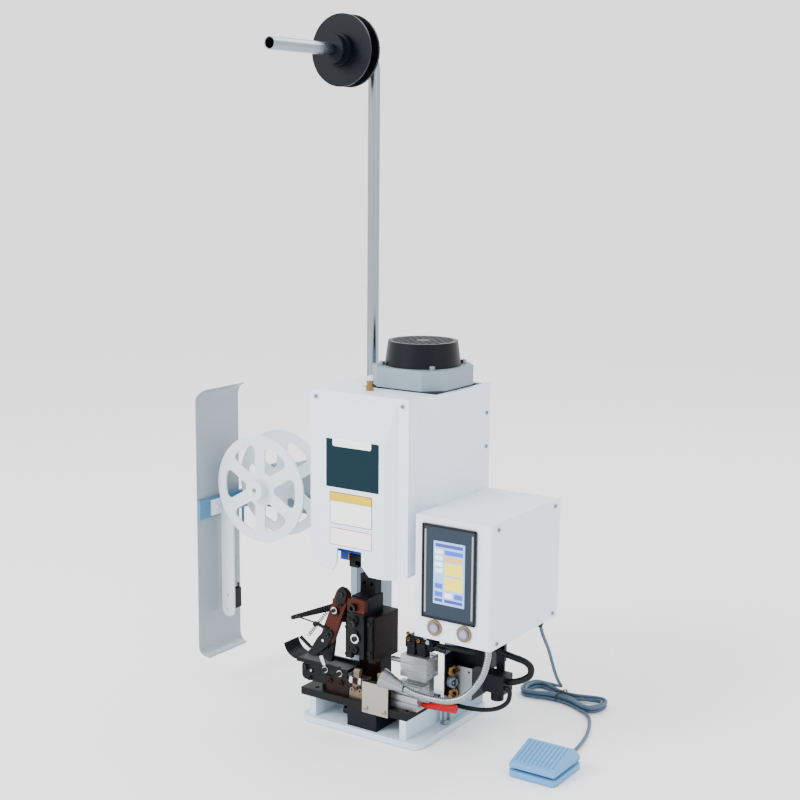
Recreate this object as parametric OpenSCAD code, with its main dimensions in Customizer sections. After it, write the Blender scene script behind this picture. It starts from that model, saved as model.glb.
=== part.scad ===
// Terminal crimping and stripping machine with reel pole, paper winder, control box and foot pedal.
// Millimetres. X to the right, Y to the back, Z up, origin under the middle of the base plate.

/* [Base and table] */
// How far the base plate reaches out past the right side plate
base_margin = 8; // [5:1:30]
// How far the base plate reaches out behind the side plates
base_rear = 5; // [4:1:30]
// Thickness of the base plate
base_t = 10; // [6:0.5:16]
// Radius of the base plate's corners
base_r = 16; // [5:1:25]
// Thickness of each rail under the table
rail_t = 12; // [8:1:16]
// Height of the rails
rail_h = 30; // [24:1:40]
// How far the right rail stays inside the right side plate
rail_inset = 16.5; // [12:0.5:24]
// Thickness of the table plate
table_t = 12; // [8:1:18]
// Depth of the table plate
table_d = 97; // [90:1:98]
// How far the table reaches out past the left rail
table_out = 17; // [5:1:25]

/* [Press frame] */
// Thickness of the two side plates
plate_t = 12; // [8:1:16]
// Depth of the side plates
plate_d = 100; // [80:1:104]
// Width over the two side plates
frame_w = 190; // [180:1:194]
// Top of the side plates
frame_top = 425; // [400:1:440]
// How far the side plates reach forward at the head
head_reach = 30; // [10:1:34]
// Height of the throat under the head
throat_z = 290; // [280:1:300]
// Thickness of the motor plate on top
motor_plate_t = 12; // [8:1:16]

/* [Ram drive] */
// Stroke of the ram
stroke = 30; // [20:1:30]
// Width of the ram
ram_w = 54; // [44:1:60]
// Depth of the ram
ram_d = 26; // [22:1:28]
// Height of the ram
ram_h = 112; // [106:1:120]
// Underside of the ram at the top of its stroke
ram_z = 277; // [272:1:284]
// Thickness of the bronze gib strips
gib_t = 4; // [2:0.5:6]
// Width of each guide cheek
cheek_w = 14; // [10:1:18]
// Diameter of the crank shaft
crank_d = 30; // [20:1:34]
// Diameter of the crank pin
pin_d = 14; // [10:1:16]
// Diameter of the crank disc
crank_disc_d = 52; // [50:1:54]
// Outer diameter of the worm wheel
wheel_d = 54; // [40:1:56]
// Outer diameter of the worm
worm_d = 22; // [16:1:23]

/* [Motor] */
// Width of the square motor flange
flange_w = 132; // [120:1:136]
// Thickness of the motor flange
flange_t = 30; // [20:1:34]
// Diameter of the motor body
motor_d = 118; // [100:1:119]
// Lower diameter of the fan cover
fan_cover_d = 117; // [104:1:119]
// Upper diameter of the fan cover
fan_cover_top_d = 107; // [90:1:112]
// Height of the fan cover
fan_cover_h = 37; // [30:1:44]

/* [Housing] */
// Wall of the sheet metal housing
sheet_t = 1.5; // [1:0.1:2.5]
// Width of the housing's front
front_w = 178; // [160:1:180]
// Top of the housing
cover_top = 530; // [515:1:531]
// Lower edge of the housing
cover_low = 264; // [255:1:270]
// How far the middle of the front stands out
bulge = 9; // [4:1:14]
// Width of the window in the front
window_w = 45; // [36:1:50]
// Top of the window in the front
window_top = 293; // [286:1:298]

/* [Control box] */
// Width of the control box
box_w = 128; // [110:1:150]
// Depth of the control box
box_d = 205; // [180:1:230]
// Height of the control box
box_h = 184; // [160:1:200]
// Underside of the control box
box_z = 181; // [172:1:190]
// Width of the touch panel
hmi_w = 91; // [80:1:96]
// Height of the strip under the touch panel that holds the buttons
button_band = 33; // [32:1:50]
// Diameter of the push buttons
button_d = 16; // [12:1:18]
// Travel of the push buttons
button_travel = 3; // [2:0.5:4]

/* [Reel pole] */
// Diameter of the reel pole
pole_d = 19; // [16:1:22]
// Wall of the reel pole
pole_wall = 1.5; // [1:0.1:3]
// Height of the arm's axis
arm_z = 1031; // [900:1:1100]
// Bend radius of the pole
pole_bend = 28; // [20:1:45]
// Reach of the arm to its free end, from the pole
arm_reach = 259; // [220:1:300]
// Diameter of the reel disc
disc_d = 108; // [90:1:130]
// Gap between the two flanges of the reel disc
disc_gap = 18; // [12:1:24]

/* [Paper winder] */
// Diameter of the take-up reel
reel_d = 176; // [150:1:184]
// Width over the two flanges of the take-up reel
reel_w = 60; // [40:1:62]
// Thickness of each flange
reel_flange_t = 3; // [2:0.5:5]
// Diameter of the take-up reel's core
reel_core_d = 50; // [40:1:52]
// Height of the flat bar that carries the winder
bar_h = 32; // [24:1:36]
// Thickness of that bar
bar_t = 6; // [4:0.5:8]
// Length of the guard panel along the depth
panel_w = 106; // [90:1:120]
// Height of the guard panel between its curled ends
panel_h = 436; // [340:1:450]

/* [Applicator] */
// Width of the applicator's ram
app_ram_w = 30; // [24:1:32]
// Width of the applicator's body
app_w = 54; // [50:1:60]
// Width of the post on top of the ram
post_w = 28; // [22:1:30]
// Width of the anvil
anvil_w = 10; // [6:1:12]
// Height of the strip track over the table
track_h = 47; // [44:1:50]

/* [Stripping unit] */
// Length of the air cylinders
cyl_l = 47; // [40:1:52]
// Size across the square air cylinders
cyl_w = 34; // [28:1:36]
// Travel of the stripping blades
strip_travel = 10; // [5:1:12]

/* [Foot pedal] */
// Width of the foot pedal
pedal_w = 72; // [60:1:80]
// Depth of the foot pedal
pedal_d = 82; // [74:1:90]
// Height of the pedal at its toe
pedal_toe_h = 20; // [16:1:24]
// Height of the pedal at its heel
pedal_heel_h = 38; // [30:1:42]
// Diameter of the pedal's cord
cord_d = 5.5; // [4:0.5:6]

/* [Hidden] */
$fn = 48;
// Clearance between pieces that stay apart, and the radial fit of shafts in their bores
gap = 0.3;
fit = 0.05;
// Clearance beside sheet metal and sliding blocks
side_clear = 0.5;
// Overrun of a cut past the face that it opens
cut = 1;

// Box between two opposite corners
module slab(a, b) { translate(a) cube(b - a); }
// Rods along the three axes, from a start point
module rod_x(p, l, d) { translate(p) rotate([0, 90, 0]) cylinder(d = d, h = l); }
module rod_y(p, l, d) { translate(p) rotate([-90, 0, 0]) cylinder(d = d, h = l); }
module rod_z(p, l, d) { translate(p) cylinder(d = d, h = l); }
// Plate in the XZ plane from y0 to y1, and plate in the YZ plane from x0 to x1
module plate_xz(y0, y1) { translate([0, y1, 0]) rotate([90, 0, 0]) linear_extrude(y1 - y0) children(); }
module plate_yz(x0, x1) {
    translate([x0, 0, 0]) rotate([90, 0, 90]) linear_extrude(x1 - x0) children();
}
// Outline with each corner rounded by its own radius
function unit(v) = v / norm(v);
function corner_arc(a, b, c, r, n) =
    let (u = unit(a - b), v = unit(c - b), half = acos(u * v) / 2,
        m = b + unit(u + v) * r / sin(half), p = b + u * r / tan(half), q = b + v * r / tan(half),
        a0 = atan2(p.y - m.y, p.x - m.x), raw = atan2(q.y - m.y, q.x - m.x) - a0,
        turn = raw > 180 ? raw - 360 : raw < -180 ? raw + 360 : raw)
    [for (i = [0:n]) m + r * [cos(a0 + turn * i / n), sin(a0 + turn * i / n)]];
function rounded(p, r, n = 5) = [for (i = [0:len(p) - 1])
    let (ri = is_list(r) ? r[i] : r)
    each ri == 0 ? [p[i]] : corner_arc(p[(i + len(p) - 1) % len(p)], p[i], p[(i + 1) % len(p)], ri, n)];
function box_2d(x0, x1, y0, y1) = [[x0, y0], [x1, y0], [x1, y1], [x0, y1]];
// Tube swept along points: p the route, d the diameter, k the sides, ref a direction off the route
function along(p, i) = unit(p[min(i + 1, len(p) - 1)] - p[max(i - 1, 0)]);
function ring(c, t, d, k, ref) = let (s = unit(cross(t, ref)), w = cross(t, s))
    [for (j = [0:k - 1]) c + d / 2 * (cos(360 * j / k) * s + sin(360 * j / k) * w)];
module tube(p, d, k, ref, ends = [undef, undef]) {
    n = len(p);
    polyhedron(
        [for (i = [0:n - 1]) each ring(p[i],
            i == 0 && ends[0] != undef ? ends[0] : i == n - 1 && ends[1] != undef ? ends[1] : along(p, i),
            is_list(d) ? d[i] : d, k, ref)],
        concat([[for (j = [0:k - 1]) j]],
            [for (i = [0:n - 2]) for (j = [0:k - 1]) each [
                [i * k + j, (i + 1) * k + j, i * k + (j + 1) % k],
                [i * k + (j + 1) % k, (i + 1) * k + j, (i + 1) * k + (j + 1) % k]]],
            [[for (j = [k - 1:-1:0]) (n - 1) * k + j]]));
}
// Socket head screw with its head towards -Y, seated on the face at p
module screw_y(p, d, h) {
    difference() {
        rod_y(p - [0, h, 0], h, d);
        translate(p - [0, h + cut, 0]) rotate([-90, 0, 0]) cylinder(d = d * socket_share,
            h = h / 2 + cut, $fn = hex_sides);
    }
}
module screw_z(p, d, h) {
    difference() {
        rod_z(p, h, d);
        translate(p + [0, 0, h / 2]) cylinder(d = d * socket_share, h = h / 2 + cut, $fn = hex_sides);
    }
}
module screw_x(p, d, h) {
    difference() {
        rod_x(p, h, d);
        translate(p + [h / 2, 0, 0]) rotate([0, 90, 0]) cylinder(d = d * socket_share, h = h / 2 + cut,
            $fn = hex_sides);
    }
}
socket_share = 0.55;
hex_sides = 6;

// Base, rails and table
frame_x = 7;
plate_y0 = 0;
plate_y1 = plate_y0 + plate_d;
left_x = frame_x - frame_w / 2;
right_x = frame_x + frame_w / 2;
base_x1 = right_x + base_margin;
base_y0 = -105;
base_y1 = plate_y1 + base_rear;
rail_top = base_t + rail_h;
table_top = rail_top + table_t;
rail_left_inset = 14.5;
rail_x0 = -base_x1 + rail_left_inset;
rail_x1 = right_x - rail_inset;
rail_front_gap = 6;
table_front = base_y0 + rail_front_gap - gap;
table_back = table_front + table_d;
table_x0 = rail_x0 - table_out;
table_x1 = rail_x1 + gap;
stud_d = 8;
stud_nut_d = 15;
stud_nut_h = 7;
stud_h = 34;
stud_inset = 12;
stud_x = base_x1 - stud_inset;
stud_y = [7, -10];
stud_places = [[stud_x, stud_y[1]], [-stud_x, stud_y[0]]];

// Press frame
head_front = plate_y0 - head_reach;
gusset = 16;
wall_t = 12;

// Ram and crank
ram_x = -10;
ram_y = -56;
guide_clear = 0.05;
crank_z = 325;
crank_r = stroke / 2;
disc_t = 8;
pocket_depth = 14;
pin_reach = 11;
cheek_low = 263;
cheek_top = 400;
guide_cover_t = 8;
adaptor_h = 20;
adaptor_w = ram_w - 2 * gib_t - 2 * side_clear;
adaptor_d = 38;
neck_d = 12;
slot_head_d = 22;
slot_head_h = 6;

// Motor
motor_x = 29;
motor_y = 24;
motor_z = frame_top + motor_plate_t;
flange_gap = 2;
flange_z = cover_top + flange_gap;
flange_cut = 26;
fan_cover_z = flange_z + flange_t;
shaft_d = 14;
worm_z0 = crank_z - wheel_d / 2;
worm_l = wheel_d;
motor_bolt_d = 9;
motor_bolt_h = 6;

// Housing outline
front_y = -103;
front_x0 = left_x - sheet_t - side_clear;
front_x1 = front_x0 + front_w;
side_x1 = right_x + sheet_t + gap;
bend_y0 = -71;
bend_y1 = -40;
cover_back = plate_y1 + sheet_t + gap;
lip = 12;
bulge_side = 18;
bulge_bevel = 17;
bulge_right = 20;
bulge_x1 = front_x1 - bulge_right;
bulge_top = 520;
bulge_slope = 60;
bulge_low = 257;
window_x = -11.5;
window_flare = 14;
screw_head_d = 6;
screw_head_h = 2;
front_screw_inset = 11;

// Control box
box_x0 = side_x1 + gap;
box_x1 = box_x0 + box_w;
box_y0 = -107;
box_y1 = box_y0 + box_d;
box_wall = 2;
box_r = 4;
hmi_side = 13;
hmi_x0 = box_x0 + hmi_side;
hmi_top_gap = 10;
hmi_z1 = box_z + box_h - hmi_top_gap;
hmi_z0 = box_z + button_band;
hmi_h = hmi_z1 - hmi_z0;
hmi_t = 3;
hmi_frame = 9;
button_low = 19;
button_z = box_z + button_low;
button_side = [35, 85];
button_x0 = box_x0 + button_side[0];
button_x1 = box_x0 + button_side[1];
ring_d = 22;
ring_t = 3;
button_rise = 2;
button_body = 14;

// Reel pole
pole_x = front_x0 - pole_d / 2 - sheet_t;
pole_y = 77;
pole_low = 240;
arm_free_y = pole_y - arm_reach;
clamp_h = 20;

disc_y0 = -12;
disc_flange_t = 4;
set_screw_d = 5;
disc_core_d = 60;
hub_d = 50;
hub_l = 12;
collar_d = 44;
collar_l = 13;
arm_neck_d = 18;
arm_step_y = disc_y0 - hub_l - collar_l - gap;

// Paper winder
bar_y = 60;
bar_x = -342;
bar_z = 282;
bar_front = -78;
bar_foot = 38;
reel_x = -241;
reel_y = -40;
reel_z = 341;
reel_hub_d = 32;
reel_hub_l = 15;
spindle_d = 8;
winder_w = 54;
winder_l = 60;
reel_rim = 15;
reel_spoke = 20;
window_r = 8;
panel_t = 1.5;
panel_z = 64;
panel_curl = 22;
panel_r = 18;
panel_turn = 70;

// Applicator
app_x = ram_x;
app_back = -20;
app_front = -77;
app_low = 112;
app_top = 183;
gib_front = -85;
body_low_back = -50;
post_d = 16;
post_z = 213;
post_top = 243;
app_ram_low = 119;
holder_front = -97;
holder_top = 190;
holder_notch = 15;
anvil_top = 100;
anvil_front = -94;
anvil_d = 8;
block_top = 86;
lever_front = -96;
lever_t = 8;
lever_w = 24;
lever_pivot = [-48, 186];
lever_top = [-28, 221];
lever_foot = [-64, 142];
lever_slot = 8;
column_x0 = -36;
column_x1 = 5;
foot_h = 10;
foot_x0 = -84;
foot_x1 = 17;
foot_y0 = -75;
holder_w = 31;
upper_w = 31;
upper_back = -45;
slide_back = -60;
wing_w = 38;
wing_front = -76.7;
wing_low = 125;
pocket_z = 152;
bracket_x0 = -60;
bracket_y1 = -78;
bracket_z0 = 168;
bracket_z1 = 202;
pivot_d = 8;
pivot_head_d = 14;
pivot_head_h = 3;
finger_w = 18;
finger_t = 7;
finger_tip = [-62, 99.5];
finger_heel = [-88, 112];
finger_hole = 6;
finger_radii = [3, 2, 2, 0.4, 0.4, 4, 4];
finger_screw_down = 19.8;
finger_hole_down = 9;
block_w = 29;
block_front = -92;
drag_x0 = -68;
drag_x1 = -26;
drag_top = 78;
track_x0 = -127;
track_x1 = -28;
track_y1 = -56;
track_t = 5;
track_rail = 4;
rail_short = 16;
chute_r = 26;
chute_t = 2;
chute_turn = 80;
hanger_x0 = -116;
hanger_low = 63;
hanger_t = 6;
hanger_r = 8;
hanger_hole = 6;
hanger_hole_x = 20;
guard_x0 = 5.6;
guard_x1 = 53;
guard_z0 = 38;
guard_z1 = 87;
guard_t = 1.5;
guard_lip = 10;
screw_d = 7;
screw_h = 3;
cap_d = 8.4;
small_cap_d = 5.6;

// Stripping unit
cyl_x0 = 48;
cyl_front = -85;
cyl_step_y = 25;
cyl_step_z = 41;
cyl_slot_d = 3;
cyl_rod_d = 8;
cyl_foot = 7;
carriage_l = 16;
carriage_w = 20;
carriage_gap = 2;
blade_t = 3;
blade_h = 30;
blade_w = 14;
valve_h = 20;
valve_w = 14;
brass_d = 7;

// Pneumatics beside the right plate
bracket_t = 3;
bracket_front = -20;
bracket_back = 60;
bracket_low = 60;
bracket_top = 125;
brass_hex_d = 10.5;
knob_d = 14;
knob_l = 12;
fitting_z = [99, 80, 64];
socket_box_x0 = 112;
socket_box_w = 28;
socket_box_d = 50;
socket_box_z0 = 53;
socket_box_h = 52;
valve_stack_w = 20;
valve_stack_n = 3;
valve_stack_x1 = right_x + bracket_t + gap + valve_stack_n * (valve_stack_w + side_clear) - side_clear;
hanger_strap = 14;
regulator_gap = 0.7;
regulator_w = 36;
regulator_z0 = 80;
regulator_z1 = 108;
regulator_y = 14;
regulator_x0 = valve_stack_x1 + regulator_gap;
regulator_x1 = regulator_x0 + regulator_w;
strap_x0 = regulator_x0 + hanger_strap / 2;
strap_x1 = strap_x0 + hanger_strap;
regulator_bowl_d = 20;
regulator_bowl_h = 14;

// Foot pedal
pedal_x0 = 262;
pedal_y0 = -98;
pedal_rim = 2;
pedal_wall = 3;
pedal_crest = 22;
pedal_rear_h = 18;
pedal_base_h = 9;
pedal_r = 8;
treadle_gap = 3.6;
hinge_d = 4;
hinge_z = 15;
hinge_in = 10;
lug_w = 5;
groove_w = 2;
groove_depth = 1;
groove_n = 10;
switch_w = 20;
switch_h = 10;
switch_l = 30;
lamp_d = 8;
hose_d = 6;
sleeve_d = 13;
cord_sides = 8;

// Base plate with its rounded corners and the two stud holes
module base_plate() color("#dfe8ef") difference() {
    linear_extrude(base_t) polygon(rounded(box_2d(-base_x1, base_x1, base_y0, base_y1), base_r));
    for (p = stud_places) rod_z([p.x, p.y, -cut], base_t + 2 * cut, stud_d + 2 * gap);
}

module side_rails() color("#dfe8ef") for (x = [rail_x0, rail_x1 - rail_t])
    slab([x, table_front, base_t], [x + rail_t, table_back, rail_top]);

module table_plate() color("#23272c") difference() {
    slab([table_x0, table_front, rail_top], [table_x1, table_back, table_top]);
    for (x = [rail_x0, rail_x1 - rail_t], y = [table_front, table_back])
        rod_z([x + rail_t / 2, y + sign(table_mid_y - y) * rail_t, table_top - screw_h], 2 * screw_h,
            screw_d);
}
table_mid_y = (table_front + table_back) / 2;

// Two side plates of the press, notched at the throat
module side_plates() color("#c9d6de") for (x = [left_x, right_x - plate_t])
    plate_yz(x, x + plate_t) polygon(rounded([[plate_y0, base_t], [plate_y1, base_t], [plate_y1, frame_top],
        [head_front, frame_top], [head_front, throat_z], [plate_y0, throat_z - gusset]],
        [0, 0, 0, 0, 0, gusset / 2]));

module hold_down_studs() color("#9aa3a8") for (p = stud_places) translate([p.x, p.y, 0]) {
    rod_z([0, 0, gap], stud_h - gap, stud_d);
    translate([0, 0, base_t]) cylinder(d = stud_nut_d, h = stud_nut_h, $fn = hex_sides);
}

module motor_plate() color("#c9d6de") difference() {
    slab([left_x, head_front, frame_top], [right_x, plate_y1, motor_z]);
    rod_z([motor_x, motor_y, frame_top - cut], motor_plate_t + 2 * cut, worm_d + 2 * plate_t);
}

// Gear head: a casting with a cavity for the worm and wheel and bores for the crank shaft
head_x0 = left_x + plate_t;
head_x1 = right_x - plate_t;
head_back = 70;
cavity_gap = 3;
cavity_x0 = ram_x - wheel_d / 2 - cavity_gap;
cavity_x1 = motor_x + worm_d / 2 + wall_t;
cavity_low = crank_z - wheel_d / 2 - cavity_gap;
cavity_top = 413;
front_wall = 14.4;
module head_casting() color("#0b469c") difference() {
    slab([head_x0, head_front, throat_z], [head_x1, head_back, frame_top]);
    slab([cavity_x0, head_front + front_wall, cavity_low], [cavity_x1, head_back - wall_t, cavity_top]);
    rod_y([ram_x, head_front - cut, crank_z], head_back - head_front + 2 * cut, crank_d + 2 * fit);
    rod_z([motor_x, motor_y, cavity_top - cut], frame_top - cavity_top + 2 * cut, worm_d + 2 * worm_gap);
}

// Guides of the ram: two cheeks on the casting and the cover plate in front
cheek_in = ram_w / 2 + gib_t + guide_clear;
ram_forward = 4;
slide_y0 = ram_y - ram_d / 2 - ram_forward;
slide_y1 = slide_y0 + ram_d;
cover_y1 = slide_y0 - 2 * guide_clear;
module ram_guides() color("#0b469c") {
    for (s = [-1, 1]) mirror_x(ram_x, s)
        slab([ram_x + cheek_in, cover_y1, cheek_low], [ram_x + cheek_in + cheek_w, head_front, cheek_top]);
    slab([ram_x - cheek_in - cheek_w, cover_y1 - guide_cover_t, ram_z + 1],
        [ram_x + cheek_in + cheek_w, cover_y1, cheek_top]);
}
// The same shape on the left or the right of the plane x = c
module mirror_x(c, s) translate([s < 0 ? 2 * c : 0, 0, 0]) scale([s, 1, 1]) children();

module ram_gibs() color("#b08a4a") for (s = [-1, 1]) mirror_x(ram_x, s) {
    slab([ram_x + ram_w / 2 + guide_clear, cover_y1, cheek_low],
        [ram_x + cheek_in, slide_y1 + guide_clear + gib_t, cheek_top]);
    slab([ram_x + ram_w / 2 - gib_t, slide_y1 + guide_clear, cheek_low],
        [ram_x + ram_w / 2 + guide_clear, slide_y1 + guide_clear + gib_t, cheek_top]);
}

pocket_gap = 1.5;
pocket_w = 2 * crank_r + pin_d + pocket_gap;
module ram_slide() color("#8d959a") difference() {
    slab([ram_x - ram_w / 2, slide_y0, ram_z], [ram_x + ram_w / 2, slide_y1, ram_z + ram_h]);
    slab([ram_x - pocket_w / 2, slide_y1 - pocket_depth, crank_z - pocket_w / 2],
        [ram_x + pocket_w / 2, slide_y1 + cut, crank_z + pocket_w / 2 + stroke]);
}

// Adaptor under the ram with the T slot that takes the applicator's head, open to the front
adaptor_z = ram_z - adaptor_h;
adaptor_y0 = -82;
slot_lip = 4;
module adaptor_slot(w, z0, z1) {
    slab([app_x - w / 2, adaptor_y0 - cut, z0], [app_x + w / 2, ram_y, z1]);
    rod_z([app_x, ram_y, z0], z1 - z0, w);
}
module ram_adaptor() color("#26292d") difference() {
    slab([ram_x - adaptor_w / 2, adaptor_y0, adaptor_z], [ram_x + adaptor_w / 2, adaptor_y0 + adaptor_d,
        ram_z]);
    adaptor_slot(neck_d + 2 * gap, adaptor_z - cut, adaptor_z + slot_lip + cut);
    adaptor_slot(slot_head_d + 2 * gap, adaptor_z + slot_lip, adaptor_z + slot_lip + slot_head_h + 2 * gap);
}

// Crank shaft with its disc and pin, and the worm wheel keyed to it
crank_disc_gap = 1;
crank_out = 6;
crank_disc_y = head_front - crank_disc_gap;
crank_back = head_back + crank_out;
module crankshaft() color("#a9b0b4") {
    rod_y([ram_x, crank_disc_y, crank_z], crank_back - crank_disc_y, crank_d);
    rod_y([ram_x, crank_disc_y - disc_t, crank_z], disc_t, crank_disc_d);
    rod_y([ram_x, crank_disc_y - disc_t - pin_reach - gib_t, crank_z + crank_r], pin_reach + gib_t, pin_d);
}

wheel_teeth = 30;
wheel_w = 16;
tooth_h = 2.4;
tooth_share = 0.24;
module worm_wheel() color("#b98b3c") difference() {
    plate_xz(motor_y - wheel_w / 2, motor_y + wheel_w / 2) translate([ram_x, crank_z])
        polygon([for (i = [0:wheel_teeth - 1], s = [-1, 1], t = [0, 1])
            let (r = wheel_d / 2 - (s * (2 * t - 1) > 0 ? tooth_h : 0),
                a = 360 / wheel_teeth * (i + (s < 0 ? t * tooth_share : 0.5 + t * tooth_share)))
            r * [cos(a), sin(a)]]);
    rod_y([ram_x, motor_y - wheel_w, crank_z], 2 * wheel_w, crank_d);
}

// Rotor: the shaft with the worm, the armature and the cooling fan
fan_gap = 5;
fan_z = flange_z + flange_t + fan_gap;
fan_h = 18;
fan_d = 90;
fan_blades = 8;
fan_blade_t = 2.5;
hub_rotor_d = 30;
armature_d = 66;
armature_gap = 24;
armature_z = motor_z + armature_gap;
armature_h = 60;
worm_pitch = 6;
worm_root = 3;
worm_shares = [0.3, 0.6, 0.9];
worm_gap = 2;
module motor_rotor() color("#7d8589") translate([motor_x, motor_y, 0]) {
    rod_z([0, 0, worm_z0], fan_z + fan_h - worm_z0, shaft_d);
    rotate_extrude() polygon(concat([[0, worm_z0]], [for (i = [0:worm_l / worm_pitch - 1]) each [
        [worm_d / 2 - worm_root, worm_z0 + i * worm_pitch], [worm_d / 2, worm_z0 + (i + worm_shares[0])
            * worm_pitch],
        [worm_d / 2, worm_z0 + (i + worm_shares[1]) * worm_pitch], [worm_d / 2 - worm_root,
            worm_z0 + (i + worm_shares[2]) * worm_pitch]]],
        [[0, worm_z0 + worm_l]]));
    rod_z([0, 0, armature_z], armature_h, armature_d);
    rod_z([0, 0, fan_z], fan_h, hub_rotor_d);
    for (i = [0:fan_blades - 1]) rotate([0, 0, 360 / fan_blades * i])
        slab([0, -fan_blade_t / 2, fan_z], [fan_d / 2, fan_blade_t / 2, fan_z + fan_h - 2 * fan_blade_t]);
}

// Motor housing: finned barrel, square flange above the cover and end shields with shaft bores
motor_wall = 8;
winding_t = 10;
shield_t = 8;
chamfer_pts = [[-flange_w / 2, -flange_w / 2 + flange_cut], [-flange_w / 2 + flange_cut, -flange_w / 2],
    [flange_w / 2 - flange_cut, -flange_w / 2], [flange_w / 2, -flange_w / 2 + flange_cut],
    [flange_w / 2, flange_w / 2 - flange_cut], [flange_w / 2 - flange_cut, flange_w / 2],
    [-flange_w / 2 + flange_cut, flange_w / 2], [-flange_w / 2, flange_w / 2 - flange_cut]];
module drive_motor() color("#b5c3ca") translate([motor_x, motor_y, 0]) difference() {
    union() {
        rod_z([0, 0, motor_z], flange_z - motor_z, motor_d);
        translate([0, 0, flange_z]) linear_extrude(flange_t) polygon(chamfer_pts);
    }
    rod_z([0, 0, motor_z + shield_t], flange_z + flange_t - motor_z - 2 * shield_t,
        motor_d - 2 * (motor_wall + winding_t));
    rod_z([0, 0, motor_z - cut], flange_z + flange_t - motor_z + 2 * cut, shaft_d + 2 * fit);
}

// Fan cover: a tapered cup with a grille of bars on top
grille_bars = 11;
grille_bar_w = 3.4;
grille_t = 3;
grille_margin = 7;
grille_hub_d = 22;
fan_wall = 2.5;
module fan_cover() color("#1f2226") translate([motor_x, motor_y, fan_cover_z]) {
    rotate_extrude() polygon([[fan_cover_d / 2 - fan_wall, 0], [fan_cover_d / 2, 0],
        [fan_cover_top_d / 2, fan_cover_h], [fan_cover_top_d / 2 - grille_margin, fan_cover_h],
        [fan_cover_top_d / 2 - grille_margin, fan_cover_h - grille_t],
        [fan_cover_top_d / 2 - fan_wall, fan_cover_h - grille_t]]);
    intersection() {
        rod_z([0, 0, fan_cover_h - grille_t], grille_t, fan_cover_top_d - 2 * grille_margin);
        union() {
            for (i = [0:grille_bars - 1]) let (x = ((i + 0.5) / grille_bars - 0.5)
                * (fan_cover_top_d - 2 * grille_margin))
                slab([x - grille_bar_w / 2, -fan_cover_d, 0], [x + grille_bar_w / 2, fan_cover_d,
                    fan_cover_h]);
            rod_z([0, 0, 0], fan_cover_h, grille_hub_d);
        }
    }
}

// Sheet housing: outline with a bend on the right, open to the front and below, cut out for the motor
function housing(i) = let (k = i * (norm([side_x1 - front_x1, bend_y1 - bend_y0]) - (bend_y1 - bend_y0))
        / (side_x1 - front_x1), m = i * (norm([side_x1 - front_x1, bend_y1 - bend_y0])
            - (bend_y1 - bend_y0))
        / (side_x1 - front_x1))
    [[front_x0 + i, front_y + sheet_t + gap], [front_x1 - i, front_y + sheet_t + gap], [front_x1 - i,
        bend_y0 + k],
        [side_x1 - i, bend_y1 + m], [side_x1 - i, cover_back - i], [front_x0 + i, cover_back - i]];
module main_cover() color("#f2f5f9") {
    difference() {
        translate([0, 0, cover_low]) linear_extrude(cover_top - cover_low) polygon(housing(0));
        translate([0, 0, cover_low - cut]) linear_extrude(cover_top - cover_low - sheet_t + cut)
            polygon(housing(sheet_t));
        slab([front_x0 + sheet_t, front_y, cover_low - cut], [front_x1 - sheet_t, bend_y0,
            cover_top - sheet_t]);
        translate([motor_x, motor_y, cover_top - 2 * sheet_t]) linear_extrude(3 * sheet_t)
            offset_square(flange_w + 4 * gap);
    }
    for (x = [front_x0 + sheet_t, front_x1 - sheet_t - lip])
        slab([x, front_y + sheet_t + gap, cover_low + lip], [x + lip, front_y + 2 * sheet_t + gap,
            cover_top - sheet_t]);
}
module offset_square(w) square([w, w], center = true);

// Front panel: a flat frame with a bevelled middle that stands out, and the window over the applicator
bulge_x0 = front_x0 + bulge_side;
module bulge_loft(g) hull() {
    slab([bulge_x0 + g, front_y - gap, bulge_low - g], [bulge_x1 - g, front_y, bulge_top - g]);
    slab([bulge_x0 + bulge_bevel + g, front_y - bulge + g, bulge_low - g],
        [bulge_x1 - bulge_bevel - g, front_y - bulge + g + gap, bulge_top - bulge_slope - g]);
}
window_lean = 22;
module front_cover() color("#f2f5f9") difference() {
    union() {
        plate_xz(front_y, front_y + sheet_t) polygon([[front_x0, cover_low], [bulge_x0 - gap, cover_low],
            [bulge_x0 + bulge_bevel / 2, bulge_low], [bulge_x1 - bulge_bevel / 2, bulge_low],
            [bulge_x1 + gap, cover_low], [front_x1, cover_low], [front_x1, cover_top], [front_x0,
                cover_top]]);
        bulge_loft(0);
    }
    translate([0, sheet_t, 0]) bulge_loft(sheet_t);
    slab([bulge_x0 + sheet_t, front_y - gap, bulge_low - cut], [bulge_x1 - sheet_t, front_y + 2 * sheet_t,
        bulge_top - sheet_t]);
    plate_xz(front_y - bulge - cut, front_y + sheet_t + cut) polygon([
        [window_x - window_w / 2, window_top], [window_x + window_w / 2, window_top],
        [window_x + window_w / 2, window_top - window_lean],
        [window_x + window_w / 2 + window_flare + cut, bulge_low - cut],
        [window_x - window_w / 2 - window_flare / 2 - cut, bulge_low - cut],
        [window_x - window_w / 2, window_top - window_lean]]);
}

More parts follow.
